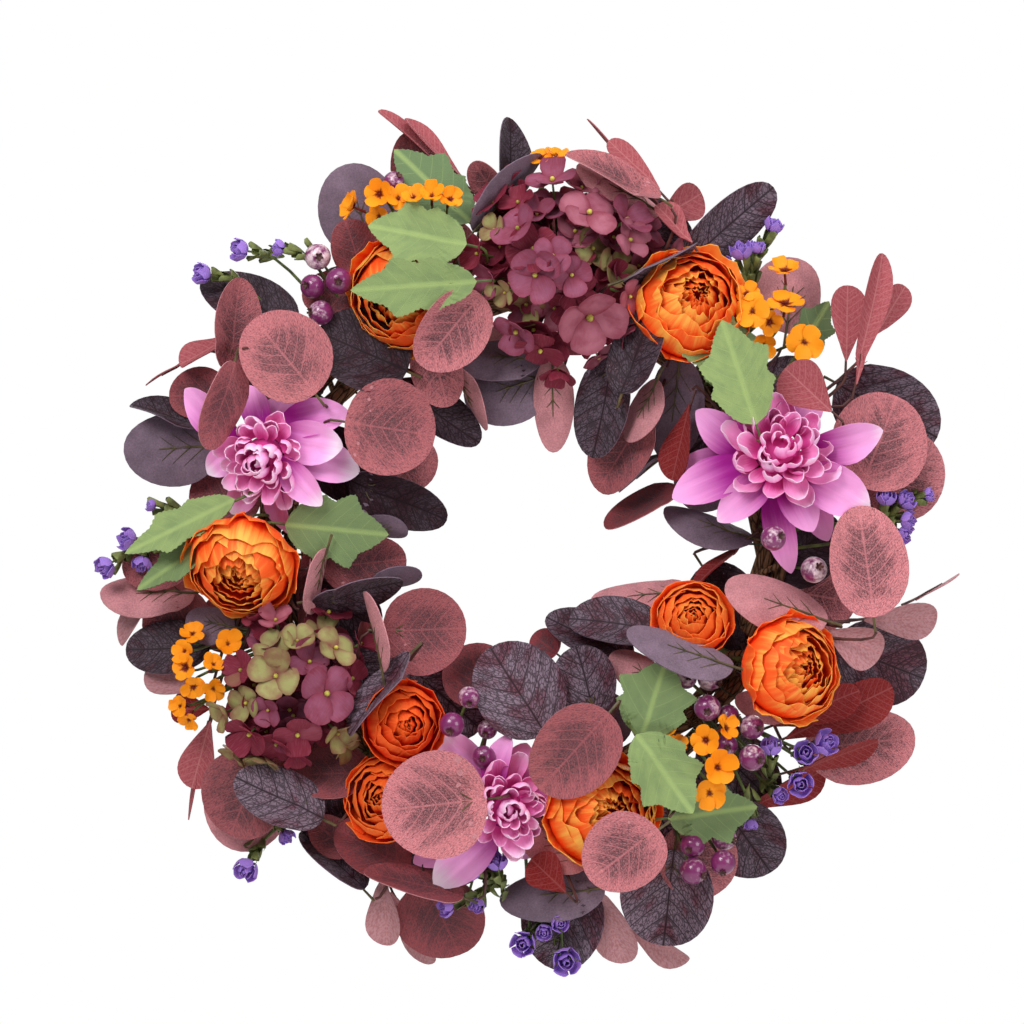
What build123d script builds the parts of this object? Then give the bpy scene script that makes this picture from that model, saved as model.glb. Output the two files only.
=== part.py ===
from build123d import *
import math
import os

# A harvest door wreath: a ring of twisted vine canes, 300 mm across its centre line, that carries
# stems of stiffened cloth leaves, cloth flowers and moulded berries. It hangs by a wire loop.
#
# Frame, in millimetres: +X to the viewer's right, +Y into the door, +Z up. The origin is the point
# inside the top of the hanging loop where the door hook bears. Places on the face of the wreath are
# given as (x, z) from the centre of the ring, and as a lift, which is the distance out from the door.

# ---------------------------------------------------------------- driving dimensions
RING_RADIUS = 150.0  # centre line of the cane bundle
RING_DROP = 185.0  # from the hook down to the centre of the ring
RING_LIFT = 20.5  # the bundle's centre line, out from the door
DOOR_Y = 5.0  # the door's face

CANE_RADII = (5.2, 4.4, 4.9)
CANE_ORBIT = 8.5  # each cane's centre, from the bundle's centre line
CANE_TWISTS = 5  # turns that a cane makes round the bundle on its way round the ring
CANE_POINTS = 40
WRAP_RADIUS = 1.8  # the thin vine wound over the canes
WRAP_ORBIT = 15.6
WRAP_TURNS = 17
POINTS_PER_TURN = 7

TIE_RADIUS = 0.6  # florist's wire
TIE_ORBIT = 18.2
TIE_COUNT = 10

LOOP_WIRE = 1.0  # wire radius of the hanging loop
LOOP_EYE = 10.0  # inner radius of its eye
LOOP_LEG_X = 5.0
LOOP_ORBIT = 18.4

BLADE_THICKNESS = 0.8
RIB_RADIUS = 0.9
RIB_SHARE = 0.5  # how far up the blade the moulded rib runs
PETIOLE = 9.0
STEM_RADIUS = 1.3

PETAL_THICKNESS = 0.8
HUB_RADIUS = 9.0  # the ball at the middle of a hydrangea head
FLORET_LOBE_SHARE = 0.52  # the radius of a floret's lobes, as a share of the floret's
PEDICEL_RADIUS = 0.9
STUB_RADIUS = 2.2
STUB_LENGTH = 14.0
STALK_LENGTH = 6.0
PICK_FORWARD = 0.8  # a head on a pick faces the viewer this much,
PICK_SPREAD = 0.002  # and outwards this much for each millimetre from the ring's centre

STEM_LEAD = 16.0  # the straight end of a stem, in front of the leaf or head that it carries
SHORTEST_RUN = 4.0  # a stem with a shorter run to that end goes straight,
SLIGHTEST_TURN = 4.0  # and so does one that would turn less than this there,
SHARPEST_TURN = 150.0  # or more than this
BRANCH_SHARES = (0.12, 0.24, 0.36, 0.48, 0.6, 0.72)  # where branches may leave the main stem

# Half outlines of the blades, from stalk to tip, as shares of the length and of the half width.
ROUND = [(0, 0), (0.1, 0.5), (0.46, 1.0), (0.84, 0.72), (1, 0)]
PADDLE = [(0, 0), (0.3, 0.3), (0.7, 1.0), (0.92, 0.66), (1, 0)]
LOBED = [(0, 0), (0.12, 0.4), (0.3, 1.0), (0.4, 0.62), (0.56, 0.86), (0.66, 0.5), (0.8, 0.42), (1, 0)]
RAY = [(0, 0), (0.12, 0.4), (0.55, 1.0), (0.86, 0.55), (1, 0)]

# ---------------------------------------------------------------- the arrangement
# A leaf is: stalk end x, z, tip x, z, width, lift of the stalk end, rise of the tip, roll.
# Roll turns the blade about its own length: 0 faces the viewer, 90 is edge on, 180 shows the back.
RED_SPRAYS = {
    "top": [
        (-62, 205, -70, 250, 32, 24, 4, 15),
        (-14, 208, -31, 231, 22, 26, 8, -30),
        (-26, 149, -61, 106, 42, 74, 4, -22),
        (-57, 124, -46, 83, 32, 50, -10, 15),
        (-42, 108, -24, 68, 26, 42, -6, 248),
        (17, 112, 18, 56, 25, 46, -16, 192),
        (80, 205, 26, 235, 34, 66, 6, 62),
        (82, 199, 31, 226, 30, 54, 6, 230),
    ],
    "upper_left": [
        (-176, 104, -172, 160, 36, 55, -10, 42),
        (-124, 90, -161, 134, 54, 76, -6, 10),
        (-178, 92, -215, 89, 32, 30, -6, 12),
        (-170, 108, -189, 57, 36, 82, 8, -52),
        (-97, 162, -108, 196, 30, 34, 4, 10),
        (-96, 150, -134, 150, 30, 38, 2, 14),
    ],
    "left": [
        (-200, -28, -257, -32, 36, 26, -6, 224),
        (-200, -2, -243, -18, 36, 18, -4, 0),
        (-190, -50, -232, -45, 42, 24, -4, 10),
        (-107, 73, -53, 65, 58, 66, -2, -6),
        (-95, 54, -52, 46, 40, 48, -8, 10),
        (-119, -2, -131, -41, 26, 56, -6, 112),
        (-128, -2, -134, -50, 24, 50, -6, 70),
        (-121, -14, -71, -9, 38, 50, -8, 12),
    ],
    "lower_left": [
        (-158, -126, -177, -176, 54, 42, -10, 14),
        (-165, -128, -172, -187, 54, 28, -8, 186),
        (-92, -137, -142, -139, 38, 46, -4, 36),
        (-70, -196, -113, -171, 36, 46, -8, 20),
        (-104, -186, -128, -167, 24, 38, -6, 0),
        (-84, -52, -35, -50, 54, 62, -6, 10),
        (-83, -76, -96, -28, 26, 72, -4, 108),
        (-24, -98, -33, -60, 44, 42, -6, 12),
    ],
    "bottom": [
        (-22, -150, -84, -157, 64, 92, 2, 4),
        (50, -99, 9, -145, 50, 90, 0, -8),
        (79, -167, 39, -199, 48, 86, 4, 24),
        (38, -193, -4, -166, 30, 50, -2, 214),
        (-60, -203, -39, -249, 56, 36, -10, 14),
        (-36, -210, -96, -196, 34, 60, -2, 62),
        (92, -170, 117, -211, 50, 42, -8, -16),
        (20, -66, 5, -55, 20, 38, -2, 10),
    ],
    "upper_right": [
        (74, 80, 44, 32, 38, 50, -14, 24),
        (81, 98, 61, 62, 28, 62, -8, 232),
        (93, 34, 49, 10, 32, 36, -8, 62),
        (158, 128, 167, 174, 50, 24, -8, 206),
        (202, 34, 226, 90, 60, 52, -8, 8),
        (205, 26, 251, 58, 54, 38, -8, 16),
    ],
    "lower_right": [
        (208, -43, 199, 23, 48, 78, -6, 8),
        (170, -124, 237, -117, 48, 32, -8, 18),
        (161, -101, 127, -92, 24, 48, 0, 216),
        (181, -46, 120, -24, 36, 66, -2, 214),
        (99, -28, 40, -34, 30, 42, -8, 228),
        (86, -86, 52, -65, 26, 56, -4, 212),
    ],
}
PLUM_SPRAYS = {
    "upper_left": [
        (-92, 176, -108, 230, 50, 26, 4, 186),
        (-138, 132, -195, 161, 40, 38, -14, 34),
        (-70, 104, -124, 128, 52, 54, -2, 12),
        (-78, 98, -28, 60, 32, 36, -6, -34),
    ],
    "left": [
        (-195, 70, -238, 86, 34, 34, -6, 64),
        (-185, 60, -243, 56, 46, 32, -8, 186),
        (-190, -62, -241, -65, 36, 32, -8, 28),
        (-175, -50, -204, -45, 28, 40, -4, 216),
        (-105, 37, -46, 18, 34, 46, -10, 26),
        (-96, 12, -70, 7, 20, 42, -4, 224),
        (-126, -36, -74, -18, 36, 60, -8, 62),
        (-92, -26, -62, -17, 22, 46, -8, 236),
        (-132, 66, -80, 28, 42, 26, -4, 10),
        (-138, -22, -88, -52, 44, 26, -4, 10),
    ],
    "lower_left": [
        (-120, -163, -174, -142, 38, 54, -4, 32),
        (-96, -208, -132, -170, 34, 32, -6, 58),
        (-66, -66, -102, -115, 36, 72, 2, 62),
        (-120, -62, -78, -96, 46, 26, -4, 10),
        (-68, -76, -26, -112, 46, 26, -4, 10),
        (-138, -140, -88, -166, 46, 24, -4, 10),
        (-74, -176, -26, -200, 38, 26, -4, 10),
    ],
    "bottom": [
        (13, -113, -20, -61, 54, 62, -6, 10),
        (42, -101, 32, -61, 42, 56, -4, -18),
        (81, -51, 27, -43, 34, 52, -8, 34),
        (66, -68, 13, -45, 32, 42, -8, 40),
        (90, -184, 85, -241, 58, 46, -8, 8),
        (31, -200, 18, -258, 52, 30, -8, 14),
        (49, -207, -15, -214, 32, 48, -4, 200),
        (120, -158, 150, -199, 50, 30, -6, 16),
        (70, -146, 98, -190, 46, 26, -4, 10),
        (110, -116, 152, -158, 44, 24, -4, 10),
    ],
    "right": [
        (190, 96, 251, 66, 54, 26, -8, 16),
        (188, -60, 243, -82, 54, 30, -8, 12),
        (124, -73, 61, -50, 34, 80, 2, 228),
        (139, 2, 85, 22, 32, 34, -6, 236),
        (94, 112, 86, 50, 36, 52, -10, 206),
        (83, 54, 58, 31, 24, 40, -8, 84),
        (146, -16, 192, 12, 46, 26, -4, 10),
        (108, -14, 140, -62, 44, 24, -4, 10),
        (132, 84, 92, 48, 42, 26, -4, 10),
    ],
    "top": [
        (-9, 210, -5, 259, 34, 26, -6, 54),
        (-30, 187, 10, 234, 36, 62, -8, 244),
        (12, 112, -40, 113, 34, 42, -4, 222),
        (14, 102, -36, 86, 44, 34, -4, 190),
        (58, 90, 78, 142, 34, 72, 2, -32),
        (54, 114, 42, 52, 38, 60, -12, 36),
        (96, 168, 150, 216, 34, 46, -10, 30),
        (58, 157, 105, 176, 28, 74, -6, 74),
        (48, 196, 102, 178, 46, 26, -4, 10),
        (40, 146, 76, 178, 40, 26, -4, 10),
    ],
}
PADDLE_SPRAYS = {
    "upper_right": [
        (82, 214, 50, 242, 20, 42, 0, 48),
        (84, 203, 38, 257, 14, 36, -4, 86),
        (82, 197, 108, 212, 24, 34, -4, 20),
        (100, 180, 79, 203, 20, 62, 2, 40),
        (194, 110, 195, 156, 22, 46, -6, 8),
        (198, 96, 217, 175, 18, 52, -4, 24),
        (212, 126, 230, 156, 20, 40, -6, 34),
        (183, 79, 155, 105, 30, 74, 0, -10),
    ],
    "right": [
        (204, -46, 248, -43, 26, 56, -8, 26),
        (236, -34, 263, -18, 10, 42, -6, 86),
        (180, -52, 214, -65, 28, 62, -4, 14),
        (157, -117, 222, -86, 30, 42, -4, 12),
        (150, -110, 201, -87, 24, 50, -2, 22),
        (160, -138, 213, -118, 24, 48, -4, 62),
        (134, -162, 184, -138, 26, 22, -4, 50),
        (134, 2, 104, -28, 18, 28, -6, 74),
        (99, 84, 91, 38, 26, 58, -6, 60),
    ],
    "bottom": [
        (41, -203, 61, -255, 28, 38, -8, 22),
        (60, -230, 100, -253, 22, 26, -4, 44),
        (25, -208, 4, -188, 24, 60, 2, 10),
        (-86, -199, -82, -243, 24, 32, -6, 32),
        (-80, -211, -57, -257, 22, 15, -4, 44),
    ],
    "left": [
        (-178, 125, -208, 108, 24, 32, -4, 58),
        (-204, 112, -230, 97, 10, 28, -4, 86),
        (-222, -20, -247, -61, 22, 18, -4, 54),
        (-196, -88, -229, -77, 24, 34, -6, 16),
        (-190, -100, -214, -100, 20, 30, -4, 20),
        (-190, -107, -201, -148, 24, 32, -6, 20),
        (-193, -107, -203, -168, 18, 22, -4, 78),
        (-32, 212, -91, 258, 18, 32, -2, 74),
        (-35, 219, -72, 257, 20, 38, -2, 68),
    ],
}
# The lobed green leaves belong to the flower picks.
GREEN_PICKS = {
    "top": [
        (-32, 192, -78, 238, 40, 58, -10, 18),
        (-34, 178, -93, 190, 42, 78, -2, 10),
        (-28, 156, -103, 151, 36, 84, -4, -8),
    ],
    "right": [
        (140, 84, 90, 149, 40, 76, -2, 10),
        (137, 71, 117, 133, 44, 90, -2, -8),
        (122, 104, 125, 138, 30, 66, -6, 20),
        (164, 114, 185, 147, 26, 38, -6, 12),
    ],
    "left": [
        (-172, 27, -238, -6, 30, 72, -10, 32),
        (-170, 12, -231, -28, 28, 62, -8, 36),
        (-143, 12, -81, 6, 46, 62, -2, 10),
    ],
    "bottom": [
        (70, -114, 84, -68, 50, 80, -2, 8),
        (67, -112, 99, -159, 44, 88, -2, -10),
        (86, -164, 139, -156, 38, 62, -6, 12),
    ],
}
# A sector of plain leaves close to the door closes the wreath's back: first and last clock angle.
BACKING = {
    ("red", "top"): (345, 20),
    ("red", "left"): (255, 290),
    ("red", "lower_left"): (205, 235),
    ("red", "lower_right"): (100, 120),
    ("plum", "upper_left"): (300, 330),
    ("plum", "bottom"): (145, 170),
    ("plum", "right"): (35, 75),
}
BACKING_STEP = 12
BACKING_WIDTH = 42

# A flower head is: x, z, lift of its middle, radius, and the way it faces (x, out, z).
PEONIES = {
    "top_left": (-70, 150, 54, 34, (-0.35, 0.85, -0.2)),
    "top_right": (98, 142, 62, 34, (0.2, 0.9, 0.3)),
    "left": (-168, -10, 62, 32, (-0.1, 0.8, -0.55)),
    "bottom": (45, -160, 62, 34, (0.35, 0.9, 0.1)),
    "right": (156, -74, 72, 31, (0.55, 0.8, 0.05)),
}
ROSES = {
    "lower_left": (-72, -107, 68, 24, (0.25, 0.95, 0.0)),
    "bottom_left": (-82, -152, 58, 26, (-0.3, 0.9, 0.1)),
    "right": (101, -45, 62, 23, (0.0, 0.95, 0.3)),
}
DAHLIA_HEARTS = {
    "left": (-154, 54, 66, 24, (-0.28, 0.92, -0.26)),
    "right": (151, 52, 70, 28, (0.05, 0.93, 0.34)),
    "bottom": (-13, -156, 64, 23, (0.2, 0.93, -0.1)),
}
# A ray petal is written as a leaf is.
DAHLIA_RAYS = {
    "left": [
        (-176, 68, -204, 93, 22, 60, -4, -20),
        (-158, 72, -166, 96, 18, 56, -6, 0),
        (-148, 70, -141, 90, 24, 54, -8, 0),
        (-142, 70, -105, 80, 24, 64, -2, -15),
        (-140, 64, -108, 58, 27, 70, 0, 10),
        (-134, 52, -98, 44, 25, 60, -6, -10),
        (-140, 46, -121, 23, 19, 72, 2, 10),
        (-147, 36, -143, 6, 17, 58, -8, 40),
        (-164, 36, -176, 18, 18, 58, -6, 0),
        (-176, 54, -190, 42, 18, 58, -4, 0),
    ],
    "right": [
        (134, 60, 102, 79, 24, 66, 2, -20),
        (131, 46, 88, 28, 26, 72, 0, 12),
        (130, 50, 91, 46, 20, 62, -4, 0),
        (143, 38, 115, 14, 22, 74, 2, 6),
        (148, 34, 160, -18, 19, 62, -8, 10),
        (156, 36, 172, 8, 23, 74, 2, -4),
        (164, 36, 183, 2, 20, 62, -6, -10),
        (168, 42, 206, 21, 29, 72, 0, 0),
        (176, 60, 214, 67, 25, 66, 4, 24),
        (176, 54, 211, 62, 18, 58, 0, 0),
        (164, 74, 177, 92, 20, 54, -4, 0),
        (152, 76, 157, 91, 16, 60, -2, 0),
    ],
    "bottom": [
        (-16, -142, -10, -113, 19, 64, 2, -30),
        (-8, -142, 2, -119, 24, 58, 0, 20),
        (-24, -142, -53, -112, 24, 54, -4, 0),
        (-20, -172, -54, -205, 27, 62, -4, 0),
        (-26, -170, -67, -192, 22, 54, -6, 0),
        (4, -150, 26, -148, 22, 52, -6, 0),
        (-6, -176, 6, -188, 14, 56, -6, 0),
        (-18, -178, -22, -203, 12, 52, -8, 30),
    ],
}
# A hydrangea head is its hub's x, z and lift, and how far its middle stands out from the hub.
HYDRANGEAS = {
    "top": (22, 166, 36, 50, 66),
    "lower_left": (-140, -84, 34, 44, 54),
}
# A floret is: x, z, radius and how far it has sunk into the head.
FLORETS = {
    "top": [
        (17, 216, 16, 0), (38, 196, 18, -2), (-18, 204, 13, 2), (-3, 203, 12, 4), (-3, 187, 15, 0),
        (8, 196, 12, 6), (6, 175, 16, 2), (17, 171, 12, -2), (7, 160, 17, 0), (-19, 157, 11, 0),
        (-27, 173, 12, -2), (28, 160, 13, 2), (38, 136, 23, -4), (62, 148, 12, 0), (62, 128, 14, 2),
        (-4, 128, 16, 2), (10, 117, 15, 2), (20, 105, 12, 2), (44, 113, 12, 4), (60, 193, 15, 4),
        (62, 181, 13, 2), (88, 176, 11, 4), (-11, 150, 9, 0), (-17, 187, 10, 2), (40, 176, 14, 16),
        (30, 186, 13, 14), (52, 166, 14, 16), (18, 142, 14, 12), (-12, 170, 14, 12), (74, 160, 13, 12),
        (2, 144, 13, 12), (48, 206, 13, 10), (34, 212, 12, 8), (72, 190, 13, 12), (-8, 216, 12, 8),
    ],
    "lower_left": [
        (-147, -78, 16, -2), (-118, -88, 19, -4), (-113, -62, 14, -2), (-135, -58, 11, 0),
        (-148, -63, 13, 2), (-148, -46, 11, 0), (-168, -75, 12, 2), (-178, -100, 11, 2),
        (-163, -112, 15, 0), (-148, -118, 13, 2), (-135, -112, 15, -2), (-152, -98, 10, 2),
        (-112, -112, 11, 0), (-104, -80, 13, 4), (-99, -60, 11, 4), (-118, -42, 14, 4),
        (-159, -45, 10, 4), (-172, -124, 11, 4), (-156, -127, 12, 4), (-136, -125, 9, 2),
        (-108, -120, 10, 2), (-128, -70, 13, 2), (-165, -94, 12, 4), (-140, -98, 13, 12),
        (-126, -100, 12, 14), (-160, -84, 12, 14), (-132, -82, 12, 14), (-122, -54, 12, 12),
    ],
}
# A pick is: root x, z, then its heads as x, z, lift, radius.
BERRY_PICKS = {
    "upper_left": [(-124, 173, 50, 8), (-127, 155, 52, 7.5), (-111, 158, 58, 8), (-122, 139, 56, 7.5),
                   (-78, 217, 60, 6.5)],
    "right": [(147, 4, 96, 7.5), (173, -15, 68, 8)],
    "bottom_left": [(-43, -107, 78, 7.5), (-33, -91, 70, 6.5), (-24, -127, 66, 7), (-22, -111, 56, 6)],
    "lower_right": [(97, -80, 62, 6.5), (111, -80, 64, 7.5), (109, -97, 76, 8), (122, -102, 68, 6.5),
                    (136, -109, 66, 7.5), (121, -120, 62, 7), (136, -127, 70, 8)],
    "bottom_right": [(101, -180, 60, 7.5), (120, -176, 56, 7.5), (101, -195, 66, 8), (119, -190, 64, 7.5)],
}
# Small flowers add the way they face (x, out, z).
BLOSSOM_PICKS = {
    "top": [(-102, 202, 56, 10, (-0.8, 0.4, 0.3)), (-86, 209, 66, 10, (-0.2, 0.9, 0.1)),
            (-75, 206, 70, 9, (0.1, 0.9, 0.3)), (-66, 206, 72, 8, (0, 0.7, 0.6)),
            (-55, 207, 74, 8, (0, 0.8, 0.5)), (-44, 205, 74, 8, (0.2, 0.8, 0.4)),
            (-86, 196, 62, 9, (-0.3, 0.8, -0.2)), (10, 231, 56, 8, (-0.2, 0.6, 0.7)),
            (19, 233, 54, 8, (0.3, 0.6, 0.7))],
    "right": [(136, 139, 72, 12, (-0.1, 1, 0)), (156, 143, 66, 12, (0.1, 0.5, 0.8)),
              (167, 121, 66, 12.5, (0.1, 1, -0.1)), (156, 163, 58, 10, (-0.1, 0.4, 0.8)),
              (133, 149, 66, 8, (0, 0.8, 0.5)), (146, 133, 64, 9, (0.3, 0.8, -0.3)),
              (143, 119, 56, 9, (0, 0.9, -0.2))],
    "left": [(-199, -54, 50, 8, (0, 0.7, 0.6)), (-203, -64, 54, 8, (-0.4, 0.8, 0)),
             (-202, -74, 58, 9, (-0.4, 0.8, 0.2)), (-198, -85, 58, 8.5, (0, 0.8, -0.4)),
             (-186, -72, 62, 8, (0.3, 0.7, 0.5)), (-186, -86, 60, 8, (0.2, 0.8, -0.3)),
             (-178, -60, 52, 9, (0.2, 0.8, 0.3)), (-206, -97, 52, 7.5, (-0.5, 0.8, 0)),
             (-201, -105, 50, 7, (-0.2, 0.7, -0.5))],
    "bottom": [(108, -116, 78, 10, (-0.1, 0.95, 0)), (119, -109, 78, 9, (0.6, 0.6, 0.3)),
               (114, -132, 84, 11, (0.2, 0.95, 0.1)), (110, -147, 80, 11, (-0.1, 0.9, -0.3)),
               (86, -112, 74, 7, (-0.3, 0.6, 0.6)), (92, -119, 72, 6.5, (0.1, 0.7, 0.5))],
}
VIOLET_PICKS = {
    "upper_left": [(-170, 177, 44, 8, (-0.8, 0.4, 0.1)), (-193, 163, 38, 8, (-0.8, 0.4, 0.1)),
                   (-147, 178, 48, 6, (-0.9, 0.2, 0.2))],
    "left": [(-252, -13, 34, 8, (-0.7, 0.5, -0.5)), (-238, 3, 38, 8, (-0.8, 0.5, 0.2)),
             (-231, -11, 30, 7, (-0.2, 0.4, -0.8)), (-225, 24, 36, 5, (-0.9, 0.2, 0.2))],
    "upper_right": [(131, 175, 48, 8, (-0.2, 0.4, 0.8)), (121, 168, 44, 6, (-0.5, 0.4, 0.7)),
                    (150, 191, 42, 7, (0.4, 0.3, 0.8)), (140, 178, 46, 6, (0.1, 0.3, 0.9))],
    "right": [(217, 27, 52, 7, (0.1, 0.5, 0.8)), (229, 26, 48, 7, (0.6, 0.5, 0.5)),
              (230, 14, 46, 7, (0.9, 0.4, 0)), (228, 6, 44, 6.5, (0.8, 0.5, -0.3)),
              (244, 30, 40, 5, (0.9, 0.3, 0.2)), (222, -5, 42, 5, (0.8, 0.3, -0.4))],
    "lower_right": [(168, -125, 64, 8.5, (0, 0.9, 0.3)), (179, -119, 62, 9, (0.6, 0.7, 0.3)),
                    (165, -143, 58, 9, (0.1, 0.9, -0.1)), (148, -122, 60, 7.5, (0, 0.5, 0.8)),
                    (153, -150, 54, 6, (0.4, 0.7, -0.3)), (136, -168, 52, 5, (0, 0.3, -0.9))],
    "bottom": [(0, -240, 46, 9, (-0.2, 0.9, -0.1)), (25, -250, 46, 10, (0.1, 0.9, -0.2)),
               (12, -233, 42, 6, (0, 0.8, -0.4)), (21, -228, 44, 6.5, (0.3, 0.8, 0)),
               (-30, -196, 56, 7, (-0.7, 0.5, 0.3)), (-16, -191, 60, 7.5, (-0.1, 0.5, 0.8)),
               (-46, -217, 56, 7, (-0.8, 0.4, -0.3)), (-28, -216, 50, 6, (-0.3, 0.6, -0.6)),
               (-167, -195, 34, 9, (-0.3, 0.6, -0.6)), (-144, -176, 36, 6, (0.5, 0.4, -0.7))],
}


# ---------------------------------------------------------------- places and directions
def spot(x, z, lift):
    """The point at (x, z) from the ring's centre, at that lift from the door."""
    return Vector(x, DOOR_Y - lift, z - RING_DROP)


def facing(x, out, z):
    """The unit direction with those shares to the right, out of the door and up."""
    return Vector(x, -out, z).normalized()


def clock_of(x, z):
    """The clock angle of a place on the face: 0 at the top, 90 at the viewer's right."""
    return math.degrees(math.atan2(x, z)) % 360


def on_ring(clock, radius=RING_RADIUS, lift=RING_LIFT):
    """The point at that clock angle, radius and lift."""
    turn = math.radians(clock)
    return spot(radius * math.sin(turn), radius * math.cos(turn), lift)


def blade_plane(base, tip, roll):
    """The plane of a blade: x runs from stalk to tip, and z is the printed face's normal."""
    along = (tip - base).normalized()
    viewer = Vector(0, -1, 0)
    upright = (viewer - along * viewer.dot(along)).normalized()
    side = along.cross(upright)
    turn = math.radians(roll)
    return Plane(origin=base, x_dir=along, z_dir=upright * math.cos(turn) + side * math.sin(turn))


def head_plane(middle, axis):
    """The plane of a flower head: z is the way it faces."""
    across = Vector(1, 0, 0) if abs(axis.X) < 0.9 else Vector(0, 0, 1)
    return Plane(origin=middle, x_dir=(across - axis * across.dot(axis)), z_dir=axis)


def save(name, solids):
    """Writes one node, as its one solid or as a group of separate solids."""
    piece = solids[0] if len(solids) == 1 else Compound(children=solids)
    piece.label = name
    export_step(piece, f"parts/{name}.step")


# ---------------------------------------------------------------- round stock: canes, wires and stems
def bend_radii(points):
    """The largest arc that each corner's two runs allow."""
    radii = []
    for before, corner, after in zip(points, points[1:], points[2:]):
        run_in = corner - before
        run_out = after - corner
        turn = math.radians(run_in.get_angle(run_out))
        radii.append(0.45 * min(run_in.length, run_out.length) / math.tan(turn / 2))
    return radii


def round_bar(points, radius):
    """A round bar along straight runs joined by tangent arcs."""
    with BuildPart() as bar:
        with BuildLine() as path:
            if len(points) == 2:
                Line(*points)
            else:
                FilletPolyline(*points, radius=bend_radii(points))
        with BuildSketch(Plane(origin=path.line @ 0, z_dir=path.line % 0)):
            Circle(radius)
        sweep()
    return bar.part


def winding_points(start, span, orbit, turns, count):
    """Points that wind about the ring's centre line, from one clock angle over a span."""
    points = []
    for i in range(count):
        share = i / (count - 1)
        clock = start + span * share
        twist = math.radians(start + 360 * turns * share)
        radius = RING_RADIUS + orbit * math.cos(twist)
        points.append(on_ring(clock, radius, RING_LIFT + orbit * math.sin(twist)))
    return points


def make_canes():
    for i, radius in enumerate(CANE_RADII):
        start = 360 * i / len(CANE_RADII)
        points = winding_points(start, 352, CANE_ORBIT, CANE_TWISTS, CANE_POINTS)
        save(f"vine_cane_{i + 1}", [round_bar(points, radius)])
    wrap = winding_points(10, 345, WRAP_ORBIT, WRAP_TURNS, WRAP_TURNS * POINTS_PER_TURN)
    save("wrap_vine", [round_bar(wrap, WRAP_RADIUS)])


def tie_ring(clock, orbit, wire):
    """A wire ring closed round the cane bundle at that clock angle."""
    middle = on_ring(clock)
    along = on_ring(clock + 1) - on_ring(clock - 1)
    with BuildPart(Plane(origin=middle, z_dir=along)) as ring:
        Torus(orbit, wire)
    return ring.part


def make_ties():
    step = 360 / TIE_COUNT
    save("binding_wires", [tie_ring(step * (i + 0.5), TIE_ORBIT, TIE_RADIUS) for i in range(TIE_COUNT)])


def make_hanging_loop():
    """An eye of bent wire on two legs, each wound round the bundle."""
    eye_radius = LOOP_EYE + LOOP_WIRE
    eye_middle = Vector(0, 0, -LOOP_EYE)
    bundle = on_ring(0)
    back_top = LOOP_ORBIT * math.sin(math.radians(45))
    with BuildPart() as loop:
        with Locations(Location(eye_middle, (90, 0, 0))):
            Torus(eye_radius, LOOP_WIRE)
        for side in (-1, 1):
            foot = Vector(side * LOOP_LEG_X, bundle.Y + back_top, bundle.Z + back_top)
            top = Vector(side * LOOP_LEG_X, 0, eye_middle.Z - math.sqrt(eye_radius**2 - LOOP_LEG_X**2))
            with BuildSketch(Plane(origin=top, z_dir=foot - top)):
                Circle(LOOP_WIRE)
            extrude(amount=(foot - top).length)
            with Locations(Location(Vector(foot.X, bundle.Y, bundle.Z), (0, 90, 0))):
                Torus(LOOP_ORBIT, LOOP_WIRE)
    save("hanging_loop", [loop.part])


def branching_stem(root, tips, radius):
    """A moulded stem from its root to the furthest tip, with a branch to each other tip.

    A tip is a point and the direction in which the stem arrives there.
    """
    tips = sorted(tips, key=lambda tip: (tip[0] - root).length, reverse=True)
    branches = []
    main = None
    for point, direction in tips:
        knee = point - direction * STEM_LEAD
        start = root
        if main is not None:
            places = [main @ share for share in BRANCH_SHARES]
            start = min(places, key=lambda place: (place - knee).length)
        run = knee - start
        points = [start, knee, point]
        turn = run.get_angle(direction)
        if run.length < SHORTEST_RUN or turn < SLIGHTEST_TURN or turn > SHARPEST_TURN:
            points = [start, point]
        if main is None:
            with BuildLine() as path:
                if len(points) == 2:
                    Line(*points)
                else:
                    FilletPolyline(*points, radius=bend_radii(points))
            main = path.line
        branches.append(round_bar(points, radius))
    with BuildPart() as stem:
        add(branches)
    return list(stem.part.solids())


# ---------------------------------------------------------------- leaves
def blade(length, width, outline, ribbed=True):
    """A stiffened cloth blade in the XY plane, its stalk at the origin, its moulded rib behind it."""
    points = [(x * length, y * width / 2) for x, y in outline]
    with BuildPart() as leaf:
        with BuildSketch():
            with BuildLine():
                if outline is LOBED:
                    edge = Polyline(*points)
                else:
                    edge = Spline(*points, tangents=((0.35, 1), (0, -1)))
                mirror(edge, about=Plane.XZ)
            make_face()
        extrude(amount=BLADE_THICKNESS / 2, both=True)
        if ribbed:
            with BuildSketch(Plane.YZ.offset(-PETIOLE)):
                with Locations((0, -RIB_RADIUS)):
                    Circle(RIB_RADIUS)
            extrude(amount=PETIOLE + RIB_SHARE * length)
    return leaf.part


def placed_leaf(leaf, outline):
    """The solid of one leaf of the arrangement, and the stem tip that meets its stalk."""
    x0, z0, x1, z1, width, lift, rise, roll = leaf
    base = spot(x0, z0, lift)
    tip = spot(x1, z1, lift + rise)
    plane = blade_plane(base, tip, roll)
    solid = blade((tip - base).length, width, outline).moved(plane.location)
    stalk_end = plane.from_local_coords(Vector(-PETIOLE, 0, -RIB_RADIUS))
    return solid, (stalk_end, plane.x_dir)


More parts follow.
